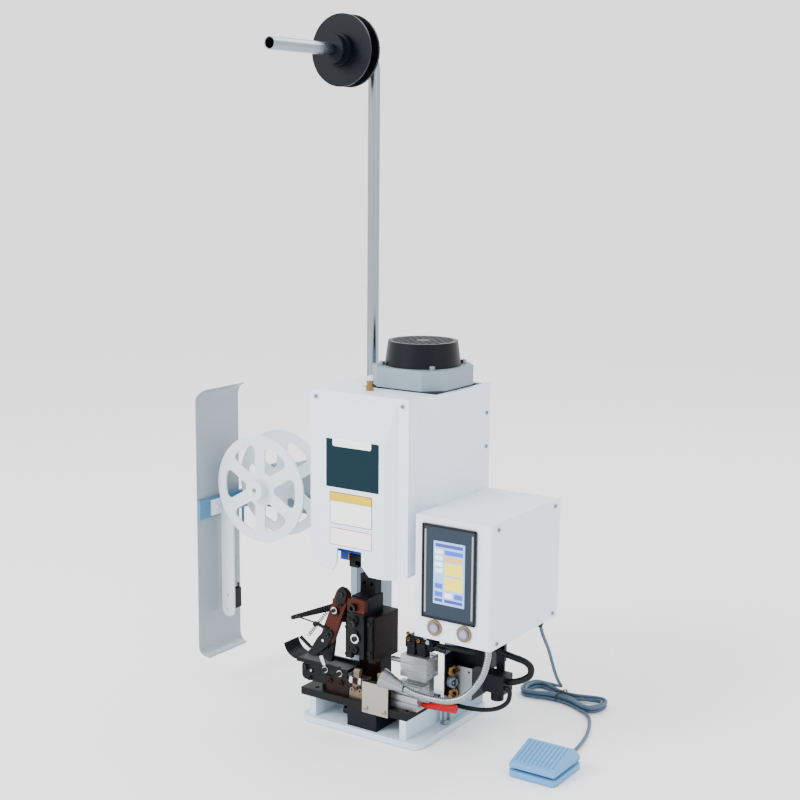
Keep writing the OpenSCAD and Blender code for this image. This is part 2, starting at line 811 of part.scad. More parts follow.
// Screws of the panels, the motor flange and the box cover
rear_screw_down = [45, 98];
rear_screw_z = [cover_top - rear_screw_down[0], cover_top - rear_screw_down[1]];
box_screw_inset = [17, 8];
bolt_gap = 1;
module cover_screws() color("#8a8f93") {
    for (x = [front_x0 + front_screw_inset, front_x1 - front_screw_inset])
        screw_y([x, front_y, cover_top - front_screw_inset], screw_head_d, screw_head_h);
    for (z = rear_screw_z) screw_x([side_x1, cover_back - front_screw_inset, z], screw_head_d,
        screw_head_h);
    for (y = [box_y0 + box_screw_inset.x, box_y1 - box_screw_inset.x],
        z = [box_z + box_screw_inset.y, box_z + box_h - box_screw_inset.y])
        screw_x([box_x1, y, z], screw_head_d, screw_head_h);
    for (a = [45:90:315]) screw_z([motor_x, motor_y, flange_z + flange_t]
        + (fan_cover_d / 2 + motor_bolt_d / 2 + bolt_gap) * [cos(a), sin(a), 0], motor_bolt_d,
            motor_bolt_h);
}

fitting_pos = [-6, -67];
fitting_d = 13;
fitting_h = 6;
fitting_shares = [0.7, 0.85];
module air_fitting() color("#b5893c") translate([fitting_pos.x, fitting_pos.y, cover_top]) {
    cylinder(d = fitting_d, h = fitting_h, $fn = hex_sides);
    rod_z([0, 0, fitting_h], fitting_h, fitting_d * fitting_shares[0]);
    rod_z([0, 0, 2 * fitting_h], fitting_h / 3, fitting_d * fitting_shares[1]);
}

// Control box: a sheet box open to the right, with openings for the panel, buttons, cord and lamp
hmi_body = 24;
hmi_x1 = hmi_x0 + hmi_w;
module control_box() color("#dfe5ea") difference() {
    slab([box_x0, box_y0, box_z], [box_x1 - box_wall - gap, box_y1, box_z + box_h]);
    slab([box_x0 + box_wall, box_y0 + box_wall, box_z + box_wall],
        [box_x1 + cut, box_y1 - box_wall, box_z + box_h - box_wall]);
    slab([hmi_x0 + hmi_frame - gap, box_y0 - cut, hmi_z0 + hmi_frame - gap],
        [hmi_x1 - hmi_frame + gap, box_y0 + box_wall + cut, hmi_z1 - hmi_frame + gap]);
    for (x = [button_x0, button_x1]) rod_y([x, box_y0 - cut, button_z], box_wall + 2 * cut,
        button_d + ring_wall * 2 + 2 * gap);
}
ring_wall = 1.5;

module box_side_cover() color("#e6ebef") {
    slab([box_x1 - box_wall, box_y0, box_z], [box_x1, box_y1, box_z + box_h]);
    for (z = [box_z + box_wall + gap, box_z + box_h - 2 * box_wall - gap])
        slab([box_x1 - box_wall - lip, box_y0 + box_wall + lip, z], [box_x1 - box_wall,
            box_y1 - box_wall - lip, z + box_wall]);
}

supply = [50, 90, 100];
board_t = 2;
board_gap = 8;
terminal = [12, 80, 14];
module box_electronics() color("#4d7a5c") translate([box_x0 + box_wall,
    box_y1 - box_wall - lip - supply.y, box_z + box_wall + lip]) {
    slab([0, 0, 0], supply);
    slab([supply.x, 0, supply.z / 2], [supply.x + board_gap, supply.y / 3, supply.z / 2 + board_gap]);
    slab([supply.x + board_gap, 0, 0], [supply.x + board_gap + board_t, supply.y, supply.z]);
    translate([supply.x + board_gap + board_t, 0, board_gap]) cube(terminal);
}

screen_w = 54;
screen_margin = 23;
screen_h = hmi_h - 2 * screen_margin;
screen_depth = 1;
module hmi_panel() color("#5b6b7b") difference() {
    union() {
        plate_xz(box_y0 - hmi_t, box_y0) polygon(rounded(box_2d(hmi_x0, hmi_x1, hmi_z0, hmi_z1), box_r));
        slab([hmi_x0 + hmi_frame, box_y0, hmi_z0 + hmi_frame], [hmi_x1 - hmi_frame, box_y0 + hmi_body,
            hmi_z1 - hmi_frame]);
    }
    slab([(hmi_x0 + hmi_x1 - screen_w) / 2, box_y0 - hmi_t - cut, (hmi_z0 + hmi_z1 - screen_h) / 2],
        [(hmi_x0 + hmi_x1 + screen_w) / 2, box_y0 - hmi_t + screen_depth, (hmi_z0 + hmi_z1 + screen_h)
            / 2]);
}

module button_rings() color("#9aa2a8") for (x = [button_x0, button_x1]) difference() {
    union() {
        rod_y([x, box_y0 - ring_t, button_z], ring_t, ring_d + 2);
        rod_y([x, box_y0 - cut, button_z], button_body, button_d + ring_wall * 2);
    }
    rod_y([x, box_y0 - ring_t - cut, button_z], button_body + ring_t + 2 * cut, button_d + 2 * fit);
}
module push_button(x) {
    rod_y([x, box_y0 - ring_t - button_rise, button_z], button_body, button_d);
    rod_y([x, box_y0 - ring_t, button_z], button_body + 2 * button_travel, button_d / 2);
}
module start_button() color("#2e8f4e") push_button(button_x0);
module reset_button() color("#c9a227") push_button(button_x1);

// Reel pole: an upright tube bent forward into the arm, held by two clamps on the housing
bend_z = arm_z - pole_bend;
bend_y = pole_y - pole_bend;
module reel_pole() color("#c3cacf") translate([pole_x, 0, 0]) {
    difference() {
        rod_z([0, pole_y, pole_low], bend_z - pole_low, pole_d);
        rod_z([0, pole_y, pole_low - cut], bend_z - pole_low + 2 * cut, pole_d - 2 * pole_wall);
    }
    translate([0, bend_y, bend_z]) rotate([0, -90, 0]) rotate_extrude(angle = 90)
        translate([pole_bend, 0]) difference() {
            circle(d = pole_d);
            circle(d = pole_d - 2 * pole_wall);
        }
    difference() {
        union() {
            rod_y([0, arm_free_y, arm_z], arm_step_y - arm_free_y, pole_d);
            rod_y([0, arm_step_y, arm_z], bend_y - arm_step_y, arm_neck_d);
        }
        rod_y([0, arm_free_y - cut, arm_z], bend_y - arm_free_y + 2 * cut, pole_d - 2 * pole_wall);
    }
}

clamp_z = [340, 480];
clamp_bolt_d = 7;
module pole_clamps() color("#2a2d31") for (z = clamp_z) {
    difference() {
        slab([pole_x - pole_d / 2 - gib_t, pole_y - pole_d / 2 - gib_t, z], [front_x0,
            pole_y + pole_d / 2 + gib_t, z + clamp_h]);
        rod_z([pole_x, pole_y, z - cut], clamp_h + 2 * cut, pole_d + 2 * fit);
    }
    screw_y([front_x0 - clamp_bolt_d, pole_y - pole_d / 2 - gib_t, z + clamp_h / 2], clamp_bolt_d, screw_h);
}

// Spool on the arm: two flanges, a core, a boss and a collar with set screws
disc_y1 = disc_y0 + disc_flange_t + disc_gap;
set_screw_turns = [30, 120];
module reel_disc() color("#d8dde0") translate([pole_x, 0, arm_z]) difference() {
    union() {
        for (y = [disc_y0, disc_y1]) rod_y([0, y, 0], disc_flange_t, disc_d);
        rod_y([0, disc_y0, 0], disc_y1 - disc_y0, disc_core_d);
        rod_y([0, disc_y0 - hub_l, 0], hub_l, hub_d);
        rod_y([0, disc_y0 - hub_l - collar_l, 0], collar_l, collar_d);
    }
    rod_y([0, disc_y0 - hub_l - collar_l - cut, 0],
        hub_l + collar_l + disc_y1 - disc_y0 + disc_flange_t + 2 * cut,
        arm_neck_d + 2 * fit);
    for (a = set_screw_turns) rotate([0, a, 0]) rod_z([0, disc_y0 - hub_l - collar_l / 2, pole_d],
        collar_d, set_screw_d);
}

// Flat bar bent to carry the winder: foot on the housing, cross bar at the back, leg to the front
bar_x1 = front_x0 - gap;
bar_r = 10;
post_pin_d = 5;
post_pin_l = 42;
post_pin_y = 34;
module winder_bar() color("#4f86a6") {
    translate([0, 0, bar_z]) linear_extrude(bar_h)
        polygon(rounded([[bar_x, bar_front], [bar_x + bar_t, bar_front],
        [bar_x + bar_t, bar_y], [bar_x1 - bar_t, bar_y], [bar_x1 - bar_t, bar_y - bar_foot], [bar_x1,
            bar_y - bar_foot],
        [bar_x1, bar_y + bar_t], [bar_x, bar_y + bar_t]], [0, 0, bar_r - bar_t, bar_r - bar_t, 0, 0,
            bar_r, bar_r]));
    rod_z([bar_x + bar_t / 2, post_pin_y, bar_z - post_pin_l], post_pin_l, post_pin_d);
}

// Guard panel: a thin sheet with both ends curled inwards, screwed to the bar's leg
panel_x = bar_x - panel_t;
function curl(c, r, a0, a1, n = 8) = [for (i = [0:n]) let (a = a0 + (a1 - a0) * i / n) c + r * [cos(a),
    sin(a)]];
module guard_panel() color("#dfe6ea") {
    top = panel_z + panel_h - panel_curl;
    low = panel_z;
    translate([0, bar_front, 0]) intersection() {
        plate_xz(0, panel_w) polygon(concat(
            curl([panel_x + panel_curl, low], panel_curl, 180, 180 + panel_turn),
                curl([panel_x + panel_curl, low], panel_curl - panel_t, 180 + panel_turn, 180),
            curl([panel_x + panel_curl, top], panel_curl - panel_t, 180, 180 - panel_turn),
                curl([panel_x + panel_curl, top], panel_curl, 180 - panel_turn, 180)));
        plate_yz(panel_x - cut, panel_x + panel_curl) polygon(rounded(
            box_2d(0, panel_w, low - panel_curl, top + panel_curl), [panel_r, gap, gap, panel_r]));
    }
    for (y = [bar_front + clamp_h, bar_front + panel_w - clamp_h])
        mirror_x(panel_x, -1) screw_x([panel_x, y, bar_z + bar_h / 2], screw_d, screw_h);
}

// Gear motor of the winder: square gearbox, front plate on the cross bar and a round motor behind
winder_plate_t = 3;
winder_round_d = 50;
module winder_motor() color("#6f777c") difference() {
    union() {
        slab([reel_x - winder_w / 2, reel_back + 2 * gap, reel_z - winder_w / 2],
            [reel_x + winder_w / 2, bar_y - winder_plate_t, reel_z + winder_w / 2]);
        slab([reel_x - winder_w / 2, bar_y - winder_plate_t, bar_z], [reel_x + winder_w / 2, bar_y,
            reel_z + winder_w / 2]);
        rod_y([reel_x, bar_y, reel_z], winder_l - bar_t, winder_round_d);
    }
    rod_y([reel_x, reel_back - cut, reel_z], bar_y - reel_back, spindle_d + 2 * fit);
}

// Take-up reel: two flanges with six rounded windows each, a core, a hub and the spindle
reel_back = reel_y + reel_w;
window_n = 6;
window_gap = 4;
window_r0 = reel_core_d / 2 + window_gap;
window_r1 = reel_d / 2 - reel_rim;
function reel_window() = let (h = reel_spoke / 2, a = 180 / window_n)
    rounded([for (q = [[window_r0, -1], [window_r1, -1], [window_r1, 0], [window_r1, 1], [window_r0, 1]])
        let (r = q.x / (q.y == 0 ? cos(a / 4) : 1), b = q.y * (a - asin(h / q.x))) r * [cos(b), sin(b)]],
        [window_r / 2, window_r, window_r1, window_r, window_r / 2]);
module take_up_reel() color("#e8ecee") translate([reel_x, 0, reel_z]) {
    for (y = [reel_y, reel_back - reel_flange_t]) difference() {
        rod_y([0, y, 0], reel_flange_t, reel_d);
        plate_xz(y - cut, y + reel_flange_t + cut) for (i = [0:window_n - 1]) rotate(360 / window_n * i)
            polygon(reel_window());
        rod_y([0, y - cut, 0], reel_flange_t + 2 * cut, reel_core_d);
    }
    difference() {
        union() {
            rod_y([0, reel_y, 0], reel_w, reel_core_d);
            rod_y([0, reel_y - reel_hub_l, 0], reel_hub_l, reel_hub_d);
        }
        rod_y([0, reel_y - reel_hub_l - cut, 0], reel_hub_l + cut, spindle_d);
    }
    rod_y([0, reel_back, 0], bar_y - reel_back - winder_plate_t, spindle_d);
}

// Bracket bar of the paper switch, bent off the leg, with the switch and its lever
sw_t = 3;
sw_y0 = -52;
sw_y1 = -23;
sw_w = 26;
sw_low = 107;
sw_r = 12;
sw_hole = 4;
module switch_bar() color("#8e969b") {
    slab([bar_x + bar_t, sw_y0, bar_z + sw_t], [bar_x + bar_t + sw_t, sw_y1, bar_z + bar_h - sw_t]);
    difference() {
        plate_xz(sw_y1 - sw_t, sw_y1) polygon(rounded(box_2d(bar_x + bar_t, bar_x + bar_t + sw_w,
            sw_low, bar_z + bar_h - sw_t),
            [sw_r, sw_r, 0, 0]));
        for (z = [sw_low + sw_r, sw_low + 3 * sw_r])
            rod_y([bar_x + bar_t + sw_r, sw_y1 - sw_t - cut, z], sw_t + 2 * cut, sw_hole);
    }
    mirror_x(bar_x + bar_t + sw_t, 1) screw_x([bar_x + bar_t + sw_t, (sw_y0 + sw_y1) / 2,
        bar_z + bar_h / 2], screw_d, screw_h);
}
ms_x0 = -319;
ms_w = 9;
ms_d = 16;
ms_z0 = 122;
ms_h = 34;
ms_pin = 3;
ms_pin_z = ms_z0 + ms_h + ms_pin + ms_pin / 2;
module micro_switch() color("#1d2023") {
    slab([ms_x0, sw_y1, ms_z0], [ms_x0 + ms_w, sw_y1 + ms_d, ms_z0 + ms_h]);
    rod_y([ms_x0 + ms_w / 2, sw_y1 + ms_pin / 2, ms_pin_z], ms_d - ms_pin, ms_pin);
    slab([ms_x0 + ms_w / 4, sw_y1 + ms_d / 2 + gap, ms_z0 + ms_h], [ms_x0 + ms_w * 3 / 4,
        sw_y1 + ms_d - ms_pin / 2, ms_pin_z + ms_pin]);
}
sl_l = 56;
module switch_lever() color("#b9bec2") difference() {
    union() {
        rod_y([ms_x0 + ms_w / 2, sw_y1 + ms_pin / 2, ms_pin_z], ms_d / 2 - ms_pin / 2, 2 * ms_pin);
        slab([ms_x0 + ms_w / 2, sw_y1 + ms_pin / 2, ms_pin_z],
            [ms_x0 + ms_w / 2 + ms_pin, sw_y1 + ms_d / 2 - ms_pin / 2, ms_z0 + ms_h + sl_l]);
    }
    rod_y([ms_x0 + ms_w / 2, sw_y1, ms_pin_z], ms_d, ms_pin + 2 * fit);
}

// Applicator body with the ram's channel, the gib strips, the foot and the bracket of the feed lever
app_x0 = app_x - app_w / 2;
app_x1 = app_x + app_w / 2;
strip_in = app_ram_w / 2 + 1;
module applicator_body() color("#1f2327") {
    difference() {
        slab([app_x0, app_front, app_low], [app_x1, app_back, app_top]);
        slab([app_x - app_ram_w / 2 - side_clear, app_front - cut, app_low - cut],
            [app_x + app_ram_w / 2 + side_clear, slide_back + gap, app_top + cut]);
        slab([app_x - wing_w / 2 - gap, app_front - cut, app_low - cut],
            [app_x + wing_w / 2 + gap, slide_back + gap, app_top + cut]);
        slab([app_x - upper_w / 2 - gap, slide_back, pocket_z - gap], [app_x + upper_w / 2 + gap,
            upper_back + gap, app_top + cut]);
    }
    for (s = [-1, 1]) mirror_x(app_x, s) slab([app_x + strip_in, gib_front, app_low], [app_x1,
        app_front, app_top]);
    slab([column_x0, body_low_back, table_top], [column_x1, app_back, app_low]);
    slab([foot_x0, foot_y0, table_top], [foot_x1, app_back, table_top + foot_h]);
    slab([bracket_x0, lever_front + lever_t + gap, bracket_z0], [app_x0, bracket_y1, bracket_z1]);
    for (x = [app_x - strip_in - screw_d, app_x + strip_in + screw_d], z = [app_low + screw_d,
        app_top - 3 * screw_d])
        screw_y([x, gib_front, z], screw_d, screw_h);
    rod_y([lever_pivot.x, lever_front - pivot_head_h, lever_pivot.y], lever_t + 2 * pivot_head_h, pivot_d);
    rod_y([lever_pivot.x, lever_front - gap - pivot_head_h, lever_pivot.y], pivot_head_h, pivot_head_d);
}

// Applicator ram: body, guide wings, wide head block, post and the T head under the press ram
post_hole_d = 6;
module applicator_ram() color("#6d3322") difference() {
    union() {
        slab([app_x - app_ram_w / 2, gib_front + gap, app_ram_low], [app_x + app_ram_w / 2, slide_back,
            app_top]);
        slab([app_x - wing_w / 2, wing_front, wing_low], [app_x + wing_w / 2, slide_back, app_top]);
        slab([app_x - upper_w / 2, gib_front + gap, app_top], [app_x + upper_w / 2, upper_back, post_z]);
        slab([app_x - post_w / 2, ram_y - post_d / 2, post_z], [app_x + post_w / 2, ram_y + post_d / 2,
            post_top]);
        rod_z([app_x, ram_y, post_top], adaptor_z + slot_lip + gap - post_top, neck_d);
        rod_z([app_x, ram_y, adaptor_z + slot_lip + gap], slot_head_h, slot_head_d);
    }
    for (s = [-1, 1]) rod_y([app_x + s * post_w / 4, ram_y - post_d / 2 - cut, post_z + post_d],
        post_d / 2 + cut, post_hole_d);
}

holder_screw_z = [188, 165, 140];
holder_radii = [2, 1, 3, 3, 1, 2, 2, 2];
wide_share = 1.5;
module crimper_holder() color("#3a2a24") {
    plate_xz(holder_front, gib_front) polygon(rounded([
        [app_x - holder_w / 2, app_ram_low], [app_x - holder_notch / 2, app_ram_low],
        [app_x - holder_notch / 2, app_ram_low + holder_notch], [app_x + holder_notch / 2,
            app_ram_low + holder_notch],
        [app_x + holder_notch / 2, app_ram_low], [app_x + holder_w / 2, app_ram_low],
        [app_x + holder_w / 2, holder_top], [app_x - holder_w / 2, holder_top]], holder_radii));
    for (z = holder_screw_z) screw_y([app_x, holder_front, z - screw_d], wide_share * screw_d, screw_h);
}

// Feed lever on its pivot, with a slot, and the finger it carries down to the track
function bar_outline(p, q, w, n = 10) = let (a = atan2(q.y - p.y, q.x - p.x))
    concat(curl(p, w / 2, a + 90, a + 270, n), curl(q, w / 2, a - 90, a + 90, n));
module feed_lever() color("#6d3322") difference() {
    plate_xz(lever_front, lever_front + lever_t)
        polygon(bar_outline(lever_top + [-lever_slot, -lever_slot], lever_foot, lever_w));
    rod_y([lever_pivot.x, lever_front - cut, lever_pivot.y], lever_t + 2 * cut, pivot_d + 2 * fit);
    plate_xz(lever_front - cut, lever_front + lever_t + cut)
        polygon(bar_outline(lever_foot + [lever_slot / 2, lever_slot + lever_slot / 2],
            lever_foot - [lever_slot / 4, lever_slot / 2], lever_slot));
}
module feed_finger() color("#26292d") {
    difference() {
        plate_xz(lever_front + lever_t, lever_front + lever_t + finger_t) polygon(rounded([
            lever_foot + [-finger_w / 2, finger_w / 2], finger_heel, finger_heel + [finger_hole,
                -finger_hole],
            finger_tip + [-finger_hole, 0], finger_tip, lever_foot + [finger_w / 3, -finger_w],
            lever_foot + [finger_w / 2, finger_w / 2]], finger_radii));
        rod_y([lever_foot.x - finger_hole, lever_front + lever_t - cut,
            lever_foot.y - finger_hole_down], finger_t + 2 * cut, finger_hole);
    }
    screw_y([lever_foot.x - finger_w / 3, lever_front + lever_t, lever_foot.y - finger_screw_down],
        screw_d, screw_h);
}

// Feed spring rod with its ribs, the return spring and the rods beside it
rod_a = [-62.3, -83, 187];
rod_b = [-139, -83, 156];
rib_n = 16;
rib_d = [11, 7];
rib_share = 0.3;
spring_top = [-68.2, -90.6, 180.5];
spring_foot = [-104, -90.6, 135];
spring_coil_d = 5;
spring_wire_d = 1.2;
spring_turns = 14;
spring_steps = 8;
wire_sides = 6;
module feed_springs() color("#8b8f92") {
    axis = rod_b - rod_a;
    translate(rod_a) rotate([0, atan2(axis.x, axis.z), 0]) {
        rotate_extrude() polygon(concat([[0, 0]], [for (i = [0:rib_n - 1], s = [0, 1])
            let (z = norm(axis) * (i + 0.5 * s) / rib_n, r = (rib_d.x + (rib_d.y - rib_d.x) * i / rib_n)
                / 2)
            each [[r * (1 - rib_share * (1 - s)), z], [r * (1 - rib_share * (1 - s)), z + norm(axis)
                / rib_n / 2]]],
            [[0, norm(axis)]]));
        rod_z([0, 0, norm(axis)], rib_d.y / 2, rib_d.y);
    }
    tube(spring_line, spring_wire_d, wire_sides, unit(spring_foot - spring_top));
}
spring_line = [for (i = [0:spring_turns * spring_steps]) let (t = i / spring_turns / spring_steps,
    a = 360 * i / spring_steps,
    u = unit(spring_foot - spring_top), v = [u.z, 0, -u.x])
    spring_top + t * (spring_foot - spring_top) + spring_coil_d / 2 * (cos(a) * v + sin(a) * [0, 1, 0])];

// Strip track with its rails, the curled chute on the left and the bracket that carries it
track_z = table_top + track_h - track_t;
module feed_track() color("#2b3036") {
    slab([track_x0, lever_front + lever_t - track_rail, track_z - track_t], [track_x1, track_y1, track_z]);
    slab([track_x0, lever_front + lever_t - track_rail, track_z], [track_x1 - rail_short,
        lever_front + lever_t, track_z + track_rail / 2]);
    slab([track_x0, track_y1 - track_rail, track_z], [track_x1, track_y1, track_z + track_rail]);
    plate_xz(lever_front + lever_t - track_rail, track_y1) polygon(concat(
        curl([track_x0 + gap, track_z - chute_t + chute_r], chute_r, 270, 270 - chute_turn),
        curl([track_x0 + gap, track_z - chute_t + chute_r], chute_r - chute_t, 270 - chute_turn, 270)));
    difference() {
        plate_xz(lever_front + lever_t - track_rail - gap, lever_front + lever_t + hanger_t)
            polygon(rounded(
            box_2d(hanger_x0, drag_x0 - gap, hanger_low, track_z - track_t), [hanger_r, hanger_r / 2, 0,
                hanger_r / 2]));
        rod_y([hanger_x0 + hanger_hole_x, lever_front, hanger_low + 2 * hanger_r],
            2 * (lever_t + hanger_t), hanger_hole);
    }
    slab([foot_x0 + gap, lever_front + lever_t + hanger_t, table_top], [drag_x0 - gap, foot_y0 - gap,
        track_z - track_t]);
    for (p = [[hanger_x0 + hanger_r, track_z - track_t - hanger_r], [hanger_x0 + 2 * hanger_r,
        hanger_low + screw_d / 2 + gap]])
        screw_y([p.x, lever_front + lever_t - track_rail - gap, p.y], screw_d, screw_h);
}

module drag_block() color("#6d3322") {
    slab([drag_x0, block_front, table_top], [drag_x1, foot_y0 - gap, drag_top]);
    for (x = [drag_x0 + screw_d, drag_x1 - 2 * screw_d]) screw_y([x, block_front, drag_top - screw_d],
        cap_d, screw_h);
}

// Anvil block with the two bright anvils on top
anvil_side = 3;
module anvil_block() color("#9c8b79") {
    slab([app_x - block_w / 2, block_front, table_top], [app_x + block_w / 2, foot_y0 - gap, block_top]);
    plate_yz(app_x - anvil_w / 2, app_x + anvil_w / 2) polygon([[anvil_front, block_top - anvil_d],
        [anvil_front + anvil_d, block_top - anvil_d], [anvil_front + anvil_d, anvil_top],
        [anvil_front + anvil_side, anvil_top], [anvil_front, anvil_top - anvil_side]]);
    for (x = [app_x - block_w / 4, app_x + block_w / 4])
        screw_y([x, block_front, table_top + block_w / 2], cap_d, screw_h);
}

module front_guard() color("#c9c8c6") {
    slab([guard_x0, table_front - guard_t, guard_z0], [guard_x1, table_front, guard_z1]);
    slab([guard_x0, table_front, guard_z1 - guard_t], [guard_x1, table_front + guard_lip, guard_z1]);
    for (x = [guard_x0 + screw_d, guard_x1 - screw_d])
        screw_y([x, table_front - guard_t, guard_z0 + screw_d], screw_d, screw_h);
}

// Two square air cylinders side by side in steps, with sensor slots and rods to the left
module air_cylinder(y, z) difference() {
    union() {
        slab([cyl_x0, y, z], [cyl_x0 + cyl_l, y + cyl_w, z + cyl_w]);
        rod_x([cyl_x0 - strip_travel - 2 * cyl_rod_d, y + cyl_w / 2, z + cyl_w / 2],
            strip_travel + 2 * cyl_rod_d, cyl_rod_d);
        for (a = [-1, 1], b = [-1, 1]) screw_x([cyl_x0 + cyl_l, y + cyl_w / 2 + a * cyl_w / 3,
            z + cyl_w / 2 + b * cyl_w / 3], small_cap_d, screw_h / 2);
    }
    for (u = [cyl_w / 3, cyl_w * 2 / 3]) {
        slab([cyl_x0 - cut, y - cut, z + u - cyl_slot_d / 2], [cyl_x0 + cyl_l + cut, y + cyl_slot_d,
            z + u + cyl_slot_d / 2]);
        slab([cyl_x0 - cut, y + u - cyl_slot_d / 2, z + cyl_w - cyl_slot_d], [cyl_x0 + cyl_l + cut,
            y + u + cyl_slot_d / 2, z + cyl_w + cut]);
    }
}
cyl_z1 = table_top + cyl_step_z;
cyl_y1 = cyl_front + cyl_step_y;
module strip_cylinders() color("#c4c6c8") {
    air_cylinder(cyl_front, table_top);
    air_cylinder(cyl_y1, cyl_z1);
    slab([cyl_x0 + cyl_foot, cyl_front + cyl_w + gap, table_top], [cyl_x0 + cyl_l - cyl_foot,
        cyl_y1 + cyl_w, cyl_z1]);
}

// Blade carriage on the cylinders' rods: a block with a bore for each rod and two blades
carriage_x1 = cyl_x0 - strip_travel - carriage_gap;
module blade_carriage() color("#aab0b4") difference() {
    union() {
        slab([carriage_x1 - carriage_l, cyl_front + cyl_w / 2 - carriage_w / 2, table_top + gap],
            [carriage_x1, cyl_front + cyl_w / 2 + carriage_w / 2, table_top + cyl_w]);
        plate_xz(cyl_front + cyl_w / 2 - carriage_w / 2 - blade_t, cyl_front + cyl_w / 2 - carriage_w / 2)
            polygon([[carriage_x1 - carriage_l, table_top + blade_w], [carriage_x1, table_top + blade_w],
                [carriage_x1, table_top + blade_w + blade_h], [carriage_x1 - carriage_l / 2,
                    table_top + blade_w + blade_h + blade_t],
                [carriage_x1 - carriage_l, table_top + blade_w + blade_h]]);
    }
    rod_x([carriage_x1 - carriage_l - cut, cyl_front + cyl_w / 2, table_top + cyl_w / 2],
        carriage_l + 2 * cut, cyl_rod_d + 2 * fit);
}

// Valves on the upper cylinder, and the pneumatic bracket with its knobs and socket box on the right plate
module valve_block() color("#1f2226") {
    top = cyl_z1 + cyl_w;
    for (i = [0, 1]) translate([cyl_x0 + valve_w / 2 + i * (cyl_l - 2 * valve_w), cyl_y1 + valve_w / 2,
        top]) {
        cube([valve_w, valve_w, valve_h]);
        rod_z([valve_w / 2, valve_w / 2, valve_h], brass_d / 2, brass_d);
    }
    slab([right_x, bracket_front, bracket_low], [right_x + bracket_t, bracket_back, bracket_top]);
    for (z = fitting_z) rod_x([right_x + bracket_t, bracket_front + knob_d, z], knob_l,
        z == fitting_z.y ? knob_d : brass_hex_d);
    slab([right_x + bracket_t, 0, socket_box_z0], [socket_box_x0 + socket_box_w, socket_box_d,
        socket_box_z0 + socket_box_h]);
    for (i = [0:valve_stack_n - 1]) slab([right_x + bracket_t + gap + i * (valve_stack_w + side_clear),
        knob_l, socket_box_z0 + socket_box_h],
        [right_x + bracket_t + gap + valve_stack_w + i * (valve_stack_w + side_clear), bracket_back,
            box_z - gap]);
}

// Air regulator hung from the control box by a strap, with its bowl below
module air_regulator() color("#23262a") {
    slab([regulator_x0, -regulator_y, regulator_z0], [regulator_x1, regulator_y, regulator_z1]);
    rod_z([(regulator_x0 + regulator_x1) / 2, 0, regulator_z0 - regulator_bowl_h], regulator_bowl_h,
        regulator_bowl_d);
    slab([strap_x0, regulator_y, regulator_z0], [strap_x1, regulator_y + bracket_t, box_z]);
    slab([strap_x0, regulator_y - hanger_strap / 2, box_z - bracket_t], [strap_x1,
        regulator_y + bracket_t, box_z]);
}

// Work lamp: a bent neck from the control box down to a conical head over the table
lamp_route = [[226, -102, 181], [226, -103, 168], [221, -105, 146], [211, -105, 128], [197, -105, 111],
    [181, -105, 99],
    [161, -105, 91.5], [138, -105, 89], [113, -105, 89], [98, -105, 91], [86, -106, 94.5]];
lamp_head = [86, -106, 94.5];
lamp_front = [52, -113, 106];
lamp_head_d = [13, 30];
lamp_turn = [0, -72, 12];
lamp_rim = 2;
lamp_sides = 10;
head_sides = 24;
module work_lamp() color("#b9bec2") {
    tube(lamp_route, lamp_d, lamp_sides, [0, 1, 0], [[0, 0, -1], undef]);
    hull() {
        translate(lamp_head) rotate([0, -90, 0]) cylinder(d = lamp_head_d.x, h = gap, $fn = head_sides);
        translate(lamp_front) rotate(lamp_turn) cylinder(d = lamp_head_d.y, h = lamp_rim, $fn = head_sides);
    }
}

// Air hoses: the bundle between the regulator and the valves and the loop below it
// Hose routes, measured from the machine's right side plate
function from_side(p) = [for (q = p) q + [right_x, 0, 0]];
hose_a = from_side([[regulator_x1 - right_x, 0, 97], [110, 0, 99], [126, 0, 106], [138, 0, 116],
    [138, 1, 128], [126, 3, 134], [103, 6, 136], [88, 7.5, 138], [78, 8.8, 140.5], [71, 10.2, 143.5],
    [66.9, 12, 146]]);
hose_b = from_side([[regulator_x1 - right_x, -8, 90], [108, -8, 88], [108, -8, 76], [103, -8, 66],
    [90, -8, 56], [72, -8, 49], [50, -6, 44], [26, -3, 41], [10, 0, 40], [4, 4, 41],
    [bracket_t + gap, 8, 44]]);
hose_b_d = 4.2;
hose_sides = 8;
module air_hoses() color("#3b444b") {
    tube(hose_a, hose_d, hose_sides, [0, 1, 0], [[1, 0, 0], undef]);
    tube(hose_b, hose_b_d, hose_sides, [0, 1, 0], [[1, 0, 0], [-1, 0, 0]]);
}

sleeve_a = [95.3, -68, 59];
sleeve_b = [152, -66, 64];
sleeve_tip = 8;
sleeve_steps = [8.8, 11.7, sleeve_d];
sleeve_sides = 16;
module hose_sleeve() color("#a83228") {
    tube([sleeve_a, sleeve_a + [sleeve_tip, 0, 0]], sleeve_tip, sleeve_sides, [0, 1, 0]);
    tube([sleeve_a + [sleeve_tip, 0, 0], (sleeve_a + sleeve_b) / 2, sleeve_b], sleeve_steps,
        sleeve_sides, [0, 1, 0], [[1, 0, 0], undef]);
}

// Scrap box between the rails under the table, open to the front, with its knob
scrap_x0 = -23;
scrap_x1 = 31;
scrap_wall = 2;
scrap_knob_d = 12;
knob_reach = 14;
knob_up = 17;
module scrap_box() color("#17191c") difference() {
    union() {
        slab([scrap_x0, table_front, base_t], [scrap_x1, table_back, rail_top]);
        rod_x([scrap_x0 - knob_reach, table_front + knob_reach, base_t + knob_up], knob_reach,
            scrap_knob_d);
    }
    slab([scrap_x0 + scrap_wall, table_front + scrap_wall, base_t + scrap_wall], [scrap_x1 - scrap_wall,
        table_back + cut, rail_top - scrap_wall]);
}

